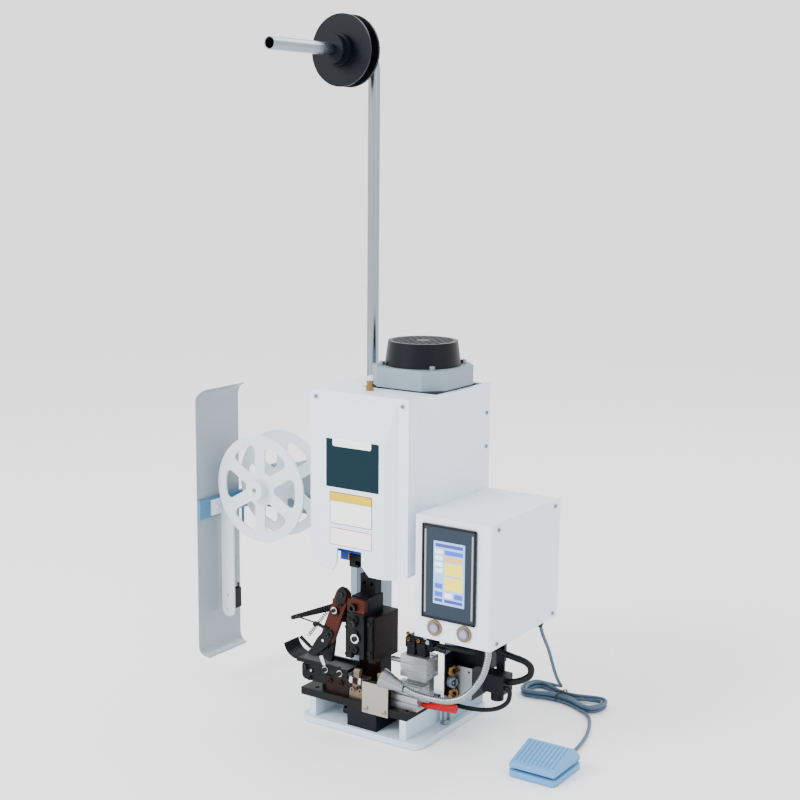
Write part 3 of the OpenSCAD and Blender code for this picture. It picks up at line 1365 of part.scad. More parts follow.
// Foot pedal: base with side walls and the sloping treadle on its hinge pin
pedal_x1 = pedal_x0 + pedal_w;
treadle_y1 = pedal_y0 + pedal_d;
pedal_y1 = treadle_y1 + pedal_rim;
hinge_y = treadle_y1 - hinge_in;
module pedal_base() color("#9db9d6") {
    linear_extrude(pedal_base_h) polygon(rounded(
        box_2d(pedal_x0 - pedal_rim, pedal_x1 + pedal_rim, pedal_y0 - pedal_rim, pedal_y1), pedal_r));
    for (x = [pedal_x0 + pedal_wall + gap, pedal_x1 - pedal_wall - gap - lug_w])
        slab([x, hinge_y - lug_w, pedal_base_h], [x + lug_w, hinge_y + lug_w / 2, hinge_z + lug_w / 2]);
    rod_x([pedal_x0 + gap, hinge_y, hinge_z], pedal_w - 2 * gap, hinge_d);
    slab([(pedal_x0 + pedal_x1 - switch_w) / 2, pedal_y0 + switch_w, pedal_base_h],
        [(pedal_x0 + pedal_x1 + switch_w) / 2, pedal_y0 + switch_w + switch_l, pedal_base_h + switch_h]);
}
function treadle_side(g, low) = [[pedal_y0 + g, low], [treadle_y1 - g, low], [treadle_y1 - g,
    pedal_rear_h - g],
    [treadle_y1 - pedal_crest, pedal_heel_h - g], [pedal_y0 + g, pedal_toe_h - g]];
module pedal_treadle() color("#a3c1dd") difference() {
    plate_yz(pedal_x0, pedal_x1) polygon(rounded(treadle_side(0, pedal_base_h + treadle_gap),
        treadle_radii));
    plate_yz(pedal_x0 + pedal_wall, pedal_x1 - pedal_wall) polygon(treadle_side(pedal_wall, 0));
    rod_x([pedal_x0 - cut, hinge_y, hinge_z], pedal_w + 2 * cut, hinge_d + 2 * fit);
    for (i = [0:groove_n - 1]) let (x = pedal_x0 + pedal_w * (i + 1) / (groove_n + 1))
        translate([x - groove_w / 2, pedal_y0 + pedal_r, pedal_toe_h + groove_rise])
            rotate([atan2(pedal_heel_h - pedal_toe_h, pedal_d - pedal_crest), 0, 0])
                cube([groove_w, groove_l, 3 * groove_depth]);
}
groove_rise = 1.4;
groove_l = 49.2;
treadle_radii = [1, 1, 3, 11, 4];

// Cord: from the gland down to the tied hank on the ground, and on to the pedal
hank = [195, 205];
hank_l = 158;
hank_lobe = 66;
hank_waist = 13.5;
hank_lean = -5;
hank_start = 130;
hank_end = 310;
hank_loops = 3;
hank_step = 6.4;
hank_layer = 6.2;
hank_blend = 0.2;
hank_turns = hank_loops + (hank_end - hank_start) / 360;
function ease(x) = let (c = max(0, min(1, x))) c * c * (3 - 2 * c);
function hank_point(u) = let (t = hank_start + 360 * u, n = hank_step * min(u, hank_turns - u),
    a = (hank_l - cord_d) / 2 - n, w = hank_waist - n, b = hank_lobe - cord_d / 2 - n,
    x = a * cos(t), y = (w + (b - w) * pow(cos(t), 2)) * sin(t),
    up = 1 - ease((u - hank_turns / 2) / hank_blend / 2 + 0.5))
    [hank.x + x * cos(hank_lean) - y * sin(hank_lean), hank.y + x * sin(hank_lean) + y * cos(hank_lean),
        cord_d / 2 + gap + hank_layer * up];
hank_rings = 24;
hank_sides = 6;
hank_lead = 6;
hank_in = unit(hank_point(1 / hank_rings) - hank_point(0));
hank_out = unit(hank_point(hank_turns) - hank_point(hank_turns - 1 / hank_rings));
lead_route = [[228, 50, 181], [228, 50, 175], [226.5, 60, 161], [223.5, 78, 143], [219.5, 96, 126],
    [215, 114, 105], [210, 134, 80], [204, 158, 55], [197, 184, 34], [192, 202, 23.5], [186, 215, 18],
    [177, 224, 14.5], [166, 229, 11.3], hank_point(0) - hank_lead * hank_in, hank_point(0)];
tail_route = [hank_point(hank_turns), hank_point(hank_turns) + hank_lead * hank_out, [268, 150, 3.1],
    [276, 132, 3.1], [285, 112, 3.1], [293, 88, 3.1], [299, 62, 3.1], [303, 38, 3.2], [306, 14, 4],
    [306, -4, 4.8], [306, pedal_y1, 4.8]];
module cord_lead() color("#7b8fa1") tube(lead_route, cord_d, cord_sides, [1, 0, 0], [[0, 0, -1], hank_in]);
module cord_tail() color("#7b8fa1") tube(tail_route, cord_d, cord_sides, [0, 0, 1], [hank_out, [0, -1, 0]]);
module cord_hank() color("#7b8fa1") tube(hank_line, cord_d, hank_sides, [0, 0, 1],
    [hank_in, hank_out]);

// Least gap of a wound line to itself: distance between points more than half a loop apart, less the diameter
function least_gap(p, skip, d) = min([for (i = [0:len(p) - 1 - skip], j = [i + skip:len(p) - 1])
    norm(p[i] - p[j])]) - d;
hank_line = [for (i = [0:hank_turns * hank_rings]) hank_point(i / hank_rings)];
echo(hank_least_gap = least_gap(hank_line, hank_rings / 2, cord_d));
echo(spring_least_gap = least_gap(spring_line, spring_steps / 2 + 1, spring_wire_d));

base_plate();
side_rails();
table_plate();
side_plates();
hold_down_studs();
motor_plate();
head_casting();
ram_guides();
ram_gibs();
ram_slide();
ram_adaptor();
crankshaft();
worm_wheel();
motor_rotor();
drive_motor();
fan_cover();
main_cover();
front_cover();
cover_screws();
air_fitting();
control_box();
box_side_cover();
box_electronics();
hmi_panel();
button_rings();
start_button();
reset_button();
reel_pole();
pole_clamps();
reel_disc();
winder_bar();
guard_panel();
winder_motor();
take_up_reel();
switch_bar();
micro_switch();
switch_lever();
applicator_body();
applicator_ram();
crimper_holder();
feed_lever();
feed_finger();
feed_springs();
feed_track();
drag_block();
anvil_block();
front_guard();
strip_cylinders();
blade_carriage();
valve_block();
air_regulator();
work_lamp();
air_hoses();
hose_sleeve();
scrap_box();
pedal_base();
pedal_treadle();
cord_lead();
cord_hank();
cord_tail();
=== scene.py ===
import math
import bpy
import numpy as np
from mathutils import Matrix, Vector


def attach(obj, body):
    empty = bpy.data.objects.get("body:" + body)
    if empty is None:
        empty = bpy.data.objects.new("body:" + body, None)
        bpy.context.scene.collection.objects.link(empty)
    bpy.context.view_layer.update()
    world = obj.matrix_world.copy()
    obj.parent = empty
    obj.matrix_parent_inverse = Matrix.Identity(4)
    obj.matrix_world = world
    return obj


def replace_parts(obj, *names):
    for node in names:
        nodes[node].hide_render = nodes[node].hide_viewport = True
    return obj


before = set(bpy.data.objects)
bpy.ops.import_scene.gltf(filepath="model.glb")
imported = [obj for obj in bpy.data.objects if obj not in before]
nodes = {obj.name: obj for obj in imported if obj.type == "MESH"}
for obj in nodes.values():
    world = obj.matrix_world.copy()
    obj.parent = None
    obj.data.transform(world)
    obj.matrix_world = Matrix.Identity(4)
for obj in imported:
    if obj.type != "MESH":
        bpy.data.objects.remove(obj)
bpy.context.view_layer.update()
print("frame loaded:", len(nodes), "nodes")

mm = 0.001


# sRGB text such as "#aabbcc" to linear colour
def tint(text):
    raw = [int(text[i:i + 2], 16) / 255 for i in (1, 3, 5)]
    return tuple(c / 12.92 if c < 0.04045 else ((c + 0.055) / 1.055) ** 2.4 for c in raw) + (1.0,)


def unit(v):
    return v / np.linalg.norm(v)


# the matrix that turns the three axes to the given ones and stands at a place
def placeMatrix(x, y, z, place):
    return Matrix([list(row) for row in np.column_stack([x, y, z, place])] + [[0, 0, 0, 1]])


# the camera stands where the photograph's stood, looking forward, left and down a little
cameraPlace = dict(position=(1204.3, -1808.5, 884.1), yaw=33.584, pitch=9.855, roll=0.498,
                   focalPixels=1439.53, sensor=36.0, framePixels=800, farLimit=30)


def makeCamera(c):
    yaw, pitch, roll = (math.radians(c[k]) for k in ("yaw", "pitch", "roll"))
    ahead = np.array([-math.sin(yaw) * math.cos(pitch), math.cos(yaw) * math.cos(pitch), -math.sin(pitch)])
    right = np.array([math.cos(yaw), math.sin(yaw), 0.0])
    above = np.cross(right, ahead)
    right, above = (math.cos(roll) * right + math.sin(roll) * above,
                    math.cos(roll) * above - math.sin(roll) * right)
    data = bpy.data.cameras.new("photoCamera")
    data.sensor_width = c["sensor"]
    data.lens = c["focalPixels"] * c["sensor"] / c["framePixels"]
    data.clip_end = c["farLimit"]
    camera = bpy.data.objects.new("photoCamera", data)
    camera.matrix_world = placeMatrix(right, above, -ahead, np.array(c["position"]) * mm)
    bpy.context.scene.collection.objects.link(camera)
    bpy.context.scene.camera = camera


makeCamera(cameraPlace)


# a mesh object from arrays of points and faces, riding on a body
def addPiece(name, points, faces, body="frame", smooth=True, slot=None, material=None):
    mesh = bpy.data.meshes.new(name)
    mesh.from_pydata(np.asarray(points, float).tolist(), [], [list(map(int, f)) for f in faces])
    mesh.polygons.foreach_set("use_smooth", np.full(len(mesh.polygons), smooth))
    mesh.update()
    piece = bpy.data.objects.new(name, mesh)
    bpy.context.scene.collection.objects.link(piece)
    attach(piece, body)
    if material:
        mesh.materials.append(material)
    return piece


# quads of a grid of points whose columns close round, and whose rows do where asked
def gridFaces(rows, columns, closeRows=False):
    a, b = np.meshgrid(np.arange(rows if closeRows else rows - 1), np.arange(columns), indexing="ij")
    c, d = (a + 1) % rows, (b + 1) % columns
    quads = np.stack([a * columns + b, a * columns + d, c * columns + d, c * columns + b], axis=-1)
    return quads.reshape(-1, 4)


# faces of stacked rings, with the first and the last ring closed flat
def ringFaces(rows, sides):
    ends = [list(range(sides)), list(range(rows * sides - 1, (rows - 1) * sides - 1, -1))]
    return list(gridFaces(rows, sides)[:, ::-1]) + ends


# faces of a plate from three rings of n points, the back one first, with both ends closed
def plateFaces(n):
    return list(gridFaces(3, n)) + [list(range(2 * n, 3 * n)), list(range(n - 1, -1, -1))]


def ringAngles(sides):
    return np.linspace(0, 2 * math.pi, sides, endpoint=False)


# a start direction for a path that begins along the given one
spareStart = (1, 0, 0.3)
leastLength = 1e-6


# two directions across a path at each point, turning as little as they can from one point to the next
def pathFrames(path, start):
    t = np.gradient(path, axis=0)
    t /= np.linalg.norm(t, axis=1)[:, None]
    side = np.cross(t[0], start)
    if np.linalg.norm(side) < leastLength:
        side = np.cross(t[0], spareStart)
    sides = [unit(side)]
    for ahead in t[1:]:
        sides.append(unit(sides[-1] - np.dot(sides[-1], ahead) * ahead))
    sides = np.array(sides)
    return sides, np.cross(t, sides)


# tube round a path: one radius, one for each point, or one for each point and side
def tubeGrid(path, radius, sides=14, start=(0, 0, 1)):
    path = np.asarray(path, float)
    u, v = pathFrames(path, start)
    a = ringAngles(sides)[None, :, None]
    r = np.asarray(radius, float)
    r = r[..., None] if r.ndim == 2 else np.broadcast_to(r, (len(path),))[:, None, None]
    points = path[:, None] + r * (np.cos(a) * u[:, None] + np.sin(a) * v[:, None])
    return points.reshape(-1, 3), ringFaces(len(path), sides)


# smooth curve through a few points, as a Catmull-Rom spline with even steps
def smoothPath(points, steps):
    p = np.asarray(points, float)
    q = np.vstack([2 * p[0] - p[1], p, 2 * p[-1] - p[-2]])
    s = np.linspace(0, 1, steps, endpoint=False)[:, None]
    out = []
    for a, b, c, d in zip(q, q[1:], q[2:], q[3:]):
        out.append(0.5 * (2 * b + (c - a) * s + (2 * a - 5 * b + 4 * c - d) * s ** 2
                          + (3 * b - a - 3 * c + d) * s ** 3))
    return np.vstack(out + [p[-1:]])


# the way along a path up to each of its points
def alongPath(path):
    return np.concatenate([[0], np.cumsum(np.linalg.norm(np.diff(path, axis=0), axis=1))])


# points at even steps along a line
def evenPath(path, step):
    along = alongPath(path)
    at = np.linspace(0, along[-1], int(along[-1] / step) + 1)
    return np.stack([np.interp(at, along, path[:, k]) for k in range(3)], axis=1), at


# each round moves every free point half way to the middle of its neighbours
def relaxPath(path, free, rounds):
    path = path.copy()
    for _ in range(rounds):
        path[1:-1] += 0.5 * free[1:-1, None] * ((path[:-2] + path[2:]) / 2 - path[1:-1])
    return path


# cord: the lead from the box, the tied hank and the tail to the pedal, on one line
cordSize = dict(diameter=5.5, hankCentre=(195, 205), hankLength=158, lobe=66, waist=13.5, lean=-5,
                startAngle=130, endAngle=310, loops=3, step=6.4, layer=6.2, blend=0.2, lift=0.3,
                hankCount=420, straightIn=12, straightOut=14, runSteps=6, spacing=4.0, joint=18.0,
                rounds=40, sides=12)


# the hank in t, the angle of the loops: x = a cos t, y = (w + (b - w) cos^2 t) sin t, where a, b and w
# shrink by a step with each turn from either end; in the middle the run sinks by one layer
def hankPoints(c):
    turns = c["loops"] + (c["endAngle"] - c["startAngle"]) / 360
    u = np.linspace(0, turns, c["hankCount"])
    t = np.radians(c["startAngle"] + 360 * u)
    n = c["step"] * np.minimum(u, turns - u)
    a = (c["hankLength"] - c["diameter"]) / 2 - n
    w = c["waist"] - n
    b = c["lobe"] - c["diameter"] / 2 - n
    x, y = a * np.cos(t), (w + (b - w) * np.cos(t) ** 2) * np.sin(t)
    s = np.clip((u - turns / 2) / c["blend"] / 2 + 0.5, 0, 1)
    z = c["diameter"] / 2 + c["lift"] + c["layer"] * (1 - s * s * (3 - 2 * s))
    lean = math.radians(c["lean"])
    return np.stack([c["hankCentre"][0] + x * math.cos(lean) - y * math.sin(lean),
                     c["hankCentre"][1] + x * math.sin(lean) + y * math.cos(lean), z], axis=1)


hank = hankPoints(cordSize)
hankIn, hankOut = unit(hank[1] - hank[0]), unit(hank[-1] - hank[-2])
leadPoints = [(228, 50, 181), (227.5, 54, 168), (224.5, 71, 150), (219.5, 96, 126), (215, 114, 105),
              (210, 134, 80), (204, 158, 55), (197, 184, 34), (192, 202, 24), (186, 215, 18.5),
              (175, 226, 14), hank[0] - cordSize["straightIn"] * hankIn, hank[0]]
tailPoints = [hank[-1], hank[-1] + cordSize["straightOut"] * hankOut, (268, 152, 3.1), (277, 132, 3.1),
              (286, 110, 3.1), (294, 86, 3.1), (299, 62, 3.1), (303, 38, 3.2), (305.6, 14, 4),
              (306, -14, 4.8)]
leadRun, tailRun = (smoothPath(run, cordSize["runSteps"]) for run in (leadPoints, tailPoints))
cordLine, alongCord = evenPath(np.vstack([leadRun[:-1], hank[:-1], tailRun]), cordSize["spacing"])
# lead and tail are free to relax, and the hank is held beyond a short joint at each end
joint = cordSize["joint"]
freeLead = (alongPath(leadRun)[-1] + joint - alongCord) / joint
freeTail = (alongCord - alongCord[-1] + alongPath(tailRun)[-1] + joint) / joint
freeParts = np.clip(np.clip(freeLead, 0, 1) + np.clip(freeTail, 0, 1), 0, 1)
cordPath = relaxPath(cordLine, freeParts, cordSize["rounds"]) * mm
cordTube = addPiece("pedalCord", *tubeGrid(cordPath, cordSize["diameter"] / 2 * mm, cordSize["sides"],
                                           (1, 0, 0)), slot="cord_rubber")
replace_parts(cordTube, "cord_lead", "cord_hank", "cord_tail")


# shared effects as node groups: each puts out masks, values and normals only
def newGroup(name, inputs, outputs):
    group = bpy.data.node_groups.new(name, "ShaderNodeTree")
    for label, kind, value in inputs:
        socket = group.interface.new_socket(name=label, in_out="INPUT", socket_type="NodeSocket" + kind)
        socket.default_value = value
    for label, kind in outputs:
        group.interface.new_socket(name=label, in_out="OUTPUT", socket_type="NodeSocket" + kind)
    return group, group.nodes.new("NodeGroupInput"), group.nodes.new("NodeGroupOutput")


def addNode(tree, kind, links=(), **settings):
    node = tree.nodes.new("ShaderNode" + kind)
    for key, value in settings.items():
        setattr(node, key, value)
    for socket, source in links:
        if hasattr(source, "is_output"):
            tree.links.new(source, node.inputs[socket])
        else:
            node.inputs[socket].default_value = source
    return node


def mathNode(tree, operation, first, second):
    return addNode(tree, "Math", [(0, first), (1, second)], operation=operation).outputs[0]


def noiseNode(tree, place, scale, detail):
    return addNode(tree, "TexNoise", [("Vector", place), ("Scale", scale), ("Detail", detail)]).outputs[0]


# a value carried from one range to another and clamped there
def rangeNode(tree, value, fromLow, fromHigh, toLow=0.0, toHigh=1.0):
    return addNode(tree, "MapRange", [("Value", value), ("From Min", fromLow), ("From Max", fromHigh),
                                      ("To Min", toLow), ("To Max", toHigh)]).outputs[0]


def mixNode(tree, share, first, second):
    return addNode(tree, "Mix", [(0, share), (6, first), (7, second)], data_type="RGBA").outputs[2]


def useGroup(tree, group, **values):
    node = tree.nodes.new("ShaderNodeGroup")
    node.node_tree = group
    for key, value in values.items():
        node.inputs[key.capitalize()].default_value = value
    return node


grainRule = dict(broadScale=9.0, broadDetail=4.0)
edgeRule = dict(samples=4, flat=0.97, turned=0.8, wornLow=0.45, wornHigh=0.65, detail=3.0)
dustRule = dict(level=0.3, flat=1.0, thinLow=0.35, thinHigh=0.75, detail=5.0)


# grain: stretched noise on object coordinates, as a value from 0 to 1 and a finer height
def makeGrainGroup(c):
    group, given, out = newGroup("surfaceGrain",
                                 [("Scale", "Float", 200.0), ("Stretch", "Vector", (1, 1, 1)),
                                  ("Detail", "Float", 3.0)],
                                 [("Value", "Float"), ("Height", "Float")])
    place = addNode(group, "TexCoord").outputs["Object"]
    stretched = addNode(group, "VectorMath", [(0, place), (1, given.outputs["Stretch"])],
                        operation="MULTIPLY").outputs[0]
    broad = noiseNode(group, stretched, c["broadScale"], c["broadDetail"])
    fine = noiseNode(group, stretched, given.outputs["Scale"], given.outputs["Detail"])
    middle = mathNode(group, "MULTIPLY", mathNode(group, "ADD", broad, fine), 0.5)
    group.links.new(middle, out.inputs["Value"])
    group.links.new(fine, out.inputs["Height"])
    return group


# soft edges: a rounded normal, and a patchy mask where it turns away from the flat one
def makeEdgeGroup(c):
    group, given, out = newGroup("edgeWear",
                                 [("Radius", "Float", 0.0005), ("Amount", "Float", 0.5),
                                  ("Patches", "Float", 40.0)],
                                 [("Normal", "Vector"), ("Mask", "Float")])
    bevel = addNode(group, "Bevel", [("Radius", given.outputs["Radius"])], samples=c["samples"])
    rounded = bevel.outputs[0]
    flat = addNode(group, "NewGeometry").outputs["Normal"]
    turn = addNode(group, "VectorMath", [(0, rounded), (1, flat)], operation="DOT_PRODUCT").outputs["Value"]
    away = rangeNode(group, turn, c["flat"], c["turned"])
    place = addNode(group, "TexCoord").outputs["Object"]
    worn = rangeNode(group, noiseNode(group, place, given.outputs["Patches"], c["detail"]),
                     c["wornLow"], c["wornHigh"])
    mask = mathNode(group, "MULTIPLY", mathNode(group, "MULTIPLY", away, worn), given.outputs["Amount"])
    group.links.new(rounded, out.inputs["Normal"])
    group.links.new(mask, out.inputs["Mask"])
    return group


# dust: a thin patchy film on faces that look up
def makeDustGroup(c):
    group, given, out = newGroup("dustFilm", [("Amount", "Float", 0.2), ("Scale", "Float", 25.0)],
                                 [("Mask", "Float")])
    flat = addNode(group, "NewGeometry").outputs["Normal"]
    rise = addNode(group, "SeparateXYZ", [(0, flat)]).outputs["Z"]
    upward = rangeNode(group, rise, c["level"], c["flat"])
    place = addNode(group, "TexCoord").outputs["Object"]
    patchy = rangeNode(group, noiseNode(group, place, given.outputs["Scale"], c["detail"]),
                       c["thinLow"], c["thinHigh"])
    mask = mathNode(group, "MULTIPLY", mathNode(group, "MULTIPLY", upward, patchy), given.outputs["Amount"])
    group.links.new(mask, out.inputs["Mask"])
    return group


grainGroup, edgeGroup = makeGrainGroup(grainRule), makeEdgeGroup(edgeRule)
dustGroup = makeDustGroup(dustRule)
print("node groups made")

finishRule = dict(bumpSize=0.00005, patches=40.0, coatRough=0.15, dustColour="#a7a59f", grainLow=0.3,
                  grainHigh=0.7)


# a finish: base colour with slight variation, roughness range, grain bump, worn edges and dust
def makeFinish(name, colour, rough=(0.35, 0.45), metal=0.0, vary=0.05, grain=300.0, stretch=(1, 1, 1),
               bump=0.05, edge=0.0004, wear=0.0, wearColour="#b8bcc0", wearMetal=0.0, dust=0.0, coat=0.0,
               specular=0.5):
    material = bpy.data.materials.new(name)
    material.use_nodes = True
    tree = material.node_tree
    tree.nodes.clear()
    shader = addNode(tree, "BsdfPrincipled", [("Metallic", metal), ("Coat Weight", coat),
                                              ("Coat Roughness", finishRule["coatRough"]),
                                              ("Specular IOR Level", specular)])
    grainNode = useGroup(tree, grainGroup, scale=grain, stretch=stretch)
    edgeNode = useGroup(tree, edgeGroup, radius=edge, amount=wear, patches=finishRule["patches"])
    value, mask = grainNode.outputs["Value"], edgeNode.outputs["Mask"]
    dark, light = (tuple(min(1, c * k) for c in tint(colour)[:3]) + (1,) for k in (1 - vary, 1 + vary))
    shown = mixNode(tree, mask, mixNode(tree, value, dark, light), tint(wearColour))
    if dust:
        film = useGroup(tree, dustGroup, amount=dust).outputs["Mask"]
        shown = mixNode(tree, film, shown, tint(finishRule["dustColour"]))
    tree.links.new(shown, shader.inputs["Base Color"])
    roughness = rangeNode(tree, value, finishRule["grainLow"], finishRule["grainHigh"], *rough)
    tree.links.new(roughness, shader.inputs["Roughness"])
    if wearMetal:
        tree.links.new(rangeNode(tree, mask, 0.0, 1.0, metal, wearMetal), shader.inputs["Metallic"])
    relief = addNode(tree, "Bump", [("Height", grainNode.outputs["Height"]), ("Strength", bump),
                                    ("Distance", finishRule["bumpSize"]),
                                    ("Normal", edgeNode.outputs["Normal"])])
    tree.links.new(relief.outputs[0], shader.inputs["Normal"])
    out = addNode(tree, "OutputMaterial")
    tree.links.new(shader.outputs[0], out.inputs[0])
    return material


# finishes of the machine, from the photograph
finishes = dict(
    housingPaint=dict(colour="#dbe6f2", rough=(0.32, 0.42), vary=0.012, grain=900, bump=0.12, edge=0.0012,
                      coat=0.2),
    basePaint=dict(colour="#bccfdf", rough=(0.35, 0.5), vary=0.02, grain=700, bump=0.15, edge=0.0009,
                   coat=0.15, dust=0.02, wear=0.3, wearColour="#9aa4ac"),
    framePaint=dict(colour="#8399a8", rough=(0.38, 0.5), vary=0.03, grain=700, bump=0.12, edge=0.0008,
                    wear=0.2),
    bluePaint=dict(colour="#06339c", rough=(0.35, 0.5), vary=0.06, grain=500, bump=0.3, edge=0.0008,
                   specular=0.3),
    tablePaint=dict(colour="#0b0d10", rough=(0.38, 0.55), vary=0.15, grain=600, bump=0.2, edge=0.0006,
                    wear=0.3, wearColour="#4d5054", wearMetal=0.6, specular=0.15),
    blackOxide=dict(colour="#0b0c0e", rough=(0.3, 0.46), vary=0.25, grain=500, bump=0.12, edge=0.0005,
                    wear=0.5, wearColour="#5b5e62", wearMetal=0.7, metal=0.15, specular=0.15),
    brownOxide=dict(colour="#3a1408", rough=(0.32, 0.48), vary=0.35, grain=350, bump=0.12, edge=0.0006,
                    wear=0.75, wearColour="#7c3a1c", wearMetal=0.5, metal=0.1, specular=0.15),
    darkBrownOxide=dict(colour="#180906", rough=(0.34, 0.5), vary=0.35, grain=350, bump=0.12, edge=0.0006,
                        wear=0.6, wearColour="#5c2a18", wearMetal=0.5, metal=0.1, specular=0.15),
    brightSteel=dict(colour="#8f9397", rough=(0.18, 0.32), metal=1.0, vary=0.06, grain=400,
                     stretch=(1, 1, 14), bump=0.1),
    brushedPlate=dict(colour="#a29d97", rough=(0.25, 0.42), metal=1.0, grain=320, stretch=(30, 1, 1),
                      bump=0.15, edge=0.0003),
    groundSteel=dict(colour="#6e5f50", rough=(0.3, 0.45), metal=0.85, vary=0.1, grain=380,
                     stretch=(1, 1, 20), bump=0.12),
    zincSteel=dict(colour="#7f8b93", rough=(0.25, 0.42), metal=0.9, vary=0.08, bump=0.1),
    poleSteel=dict(colour="#8b959d", rough=(0.16, 0.28), metal=1.0, vary=0.04, grain=260,
                   stretch=(3, 3, 0.4), bump=0.06),
    brassPlain=dict(colour="#86683f", rough=(0.2, 0.35), metal=1.0, vary=0.08, bump=0.08),
    bronzePlain=dict(colour="#8d6c3c", rough=(0.3, 0.45), metal=1.0, vary=0.1, grain=250, bump=0.1),
    aluminiumCast=dict(colour="#a3a7aa", rough=(0.3, 0.45), metal=0.9, grain=500, stretch=(12, 1, 1),
                       bump=0.12, edge=0.0005),
    motorGrey=dict(colour="#758794", rough=(0.4, 0.55), vary=0.04, grain=450, bump=0.35, edge=0.0012,
                   wear=0.2),
    blackPlastic=dict(colour="#060a12", rough=(0.32, 0.45), vary=0.12, grain=800, bump=0.2, edge=0.0008,
                      specular=0.15),
    whitePlastic=dict(colour="#cfd9e1", vary=0.02, grain=800, bump=0.1, edge=0.0006),
    panelGrey=dict(colour="#8e99a2", rough=(0.3, 0.45), metal=0.35, vary=0.03, stretch=(1, 1, 5), bump=0.1),
    barPaint=dict(colour="#2f6d92", rough=(0.3, 0.42), grain=500, bump=0.12, edge=0.0006, coat=0.2),
    screenFrame=dict(colour="#222e3b", rough=(0.3, 0.4), vary=0.04, grain=900, bump=0.1, edge=0.0012,
                     specular=0.2),
    pedalPaint=dict(colour="#5590c4", rough=(0.34, 0.46), vary=0.02, grain=900, bump=0.2, edge=0.0012,
                    specular=0.35),
    cordRubber=dict(colour="#40566b", rough=(0.42, 0.55), grain=500, bump=0.12, specular=0.3),
    hoseBlack=dict(colour="#07090c", rough=(0.35, 0.5), vary=0.2, grain=500, bump=0.25, edge=0.0003,
                   specular=0.2),
    sleeveRed=dict(colour="#a00008", rough=(0.35, 0.5), vary=0.08, grain=400, bump=0.1, edge=0.0006,
                   specular=0.2),
    boardGreen=dict(colour="#24593a", rough=(0.4, 0.5), vary=0.1, bump=0.1, edge=0.0003),
    capViolet=dict(colour="#8c84a8", rough=(0.3, 0.4), vary=0.04, edge=0.0006),
    ringGold=dict(colour="#7d6b50", rough=(0.22, 0.34), metal=1.0),
    screwBlack=dict(colour="#08090b", rough=(0.25, 0.4), vary=0.2, grain=400, bump=0.06, edge=0.0003,
                    wear=0.5, wearColour="#5a5e63", wearMetal=0.6, metal=0.2, specular=0.3),
    screwBright=dict(colour="#c9ccd0", rough=(0.12, 0.25), metal=1.0, vary=0.06, edge=0.0003),
    chrome=dict(colour="#8e9397", rough=(0.1, 0.2), metal=1.0, bump=0.03, edge=0.0003),
    knobGrey=dict(colour="#59666e", rough=(0.35, 0.5), vary=0.06, grain=400, bump=0.1, edge=0.0005),
    panelMetal=dict(colour="#aeb4b8", rough=(0.28, 0.42), metal=0.85, stretch=(14, 1, 1), bump=0.08,
                    edge=0.0003),
    tieBlack=dict(colour="#101214", rough=(0.4, 0.5), grain=400, bump=0.1, edge=0.0002),
)
made = {name: makeFinish(name, **values) for name, values in finishes.items()}
cordTube.data.materials.append(made["cordRubber"])
print("finishes:", len(made))

# which finish each CAD piece wears
wears = dict(
    base_plate="basePaint", side_rails="basePaint", table_plate="tablePaint", side_plates="framePaint",
    hold_down_studs="zincSteel", motor_plate="framePaint", head_casting="bluePaint", ram_guides="bluePaint",
    ram_gibs="bronzePlain", ram_slide="brightSteel", ram_adaptor="blackOxide", crankshaft="brightSteel",
    worm_wheel="bronzePlain", motor_rotor="brightSteel", drive_motor="motorGrey", fan_cover="blackPlastic",
    main_cover="housingPaint", front_cover="housingPaint", cover_screws="zincSteel",
    air_fitting="brassPlain", control_box="housingPaint", box_side_cover="housingPaint",
    box_electronics="boardGreen", hmi_panel="screenFrame", button_rings="ringGold",
    start_button="capViolet", reset_button="capViolet", reel_pole="poleSteel", pole_clamps="blackOxide",
    reel_disc="blackPlastic", winder_bar="barPaint", guard_panel="panelGrey", winder_motor="motorGrey",
    take_up_reel="whitePlastic", switch_bar="whitePlastic", micro_switch="blackPlastic",
    switch_lever="zincSteel", applicator_body="darkBrownOxide", applicator_ram="blackOxide",
    crimper_holder="blackOxide", feed_lever="brownOxide", feed_finger="blackOxide",
    feed_springs="blackOxide", feed_track="blackOxide", drag_block="darkBrownOxide",
    anvil_block="groundSteel", front_guard="brushedPlate", strip_cylinders="aluminiumCast",
    blade_carriage="groundSteel", valve_block="blackPlastic", air_regulator="blackPlastic",
    work_lamp="brightSteel", air_hoses="hoseBlack", hose_sleeve="sleeveRed", scrap_box="blackPlastic",
    pedal_base="pedalPaint", pedal_treadle="pedalPaint")
for node, finish in wears.items():
    nodes[node].data.materials.clear()
    nodes[node].data.materials.append(made[finish])
print("CAD pieces dressed")


plateForm = dict(steps=8, leastCorner=0.05)


# flat plate in the x-z plane with round corners: its outline is walked once round from the top right
# corner, and carried in three rings from the back to the front, the last one drawn in by soft
def addPlate(name, x0, x1, z0, z1, front, depth, corner, material, soft):
    steps = plateForm["steps"]
    a = np.linspace(0, math.pi / 2, steps)
    rings = []
    for inset, y in ((0, front + depth), (0, front + soft), (soft, front)):
        r = max(corner - inset, plateForm["leastCorner"])
        for cx, cz, start in ((x1, z1, 0), (x0, z1, 90), (x0, z0, 180), (x1, z0, 270)):
            sx, sz = (1 if cx == x1 else -1), (1 if cz == z1 else -1)
            b = a + math.radians(start)
            rings.append(np.stack([cx - sx * (inset + r) + r * np.cos(b), np.full(steps, y),
                                   cz - sz * (inset + r) + r * np.sin(b)], axis=1))
    addPiece(name, np.vstack(rings) * mm, plateFaces(4 * steps), smooth=False, material=material)


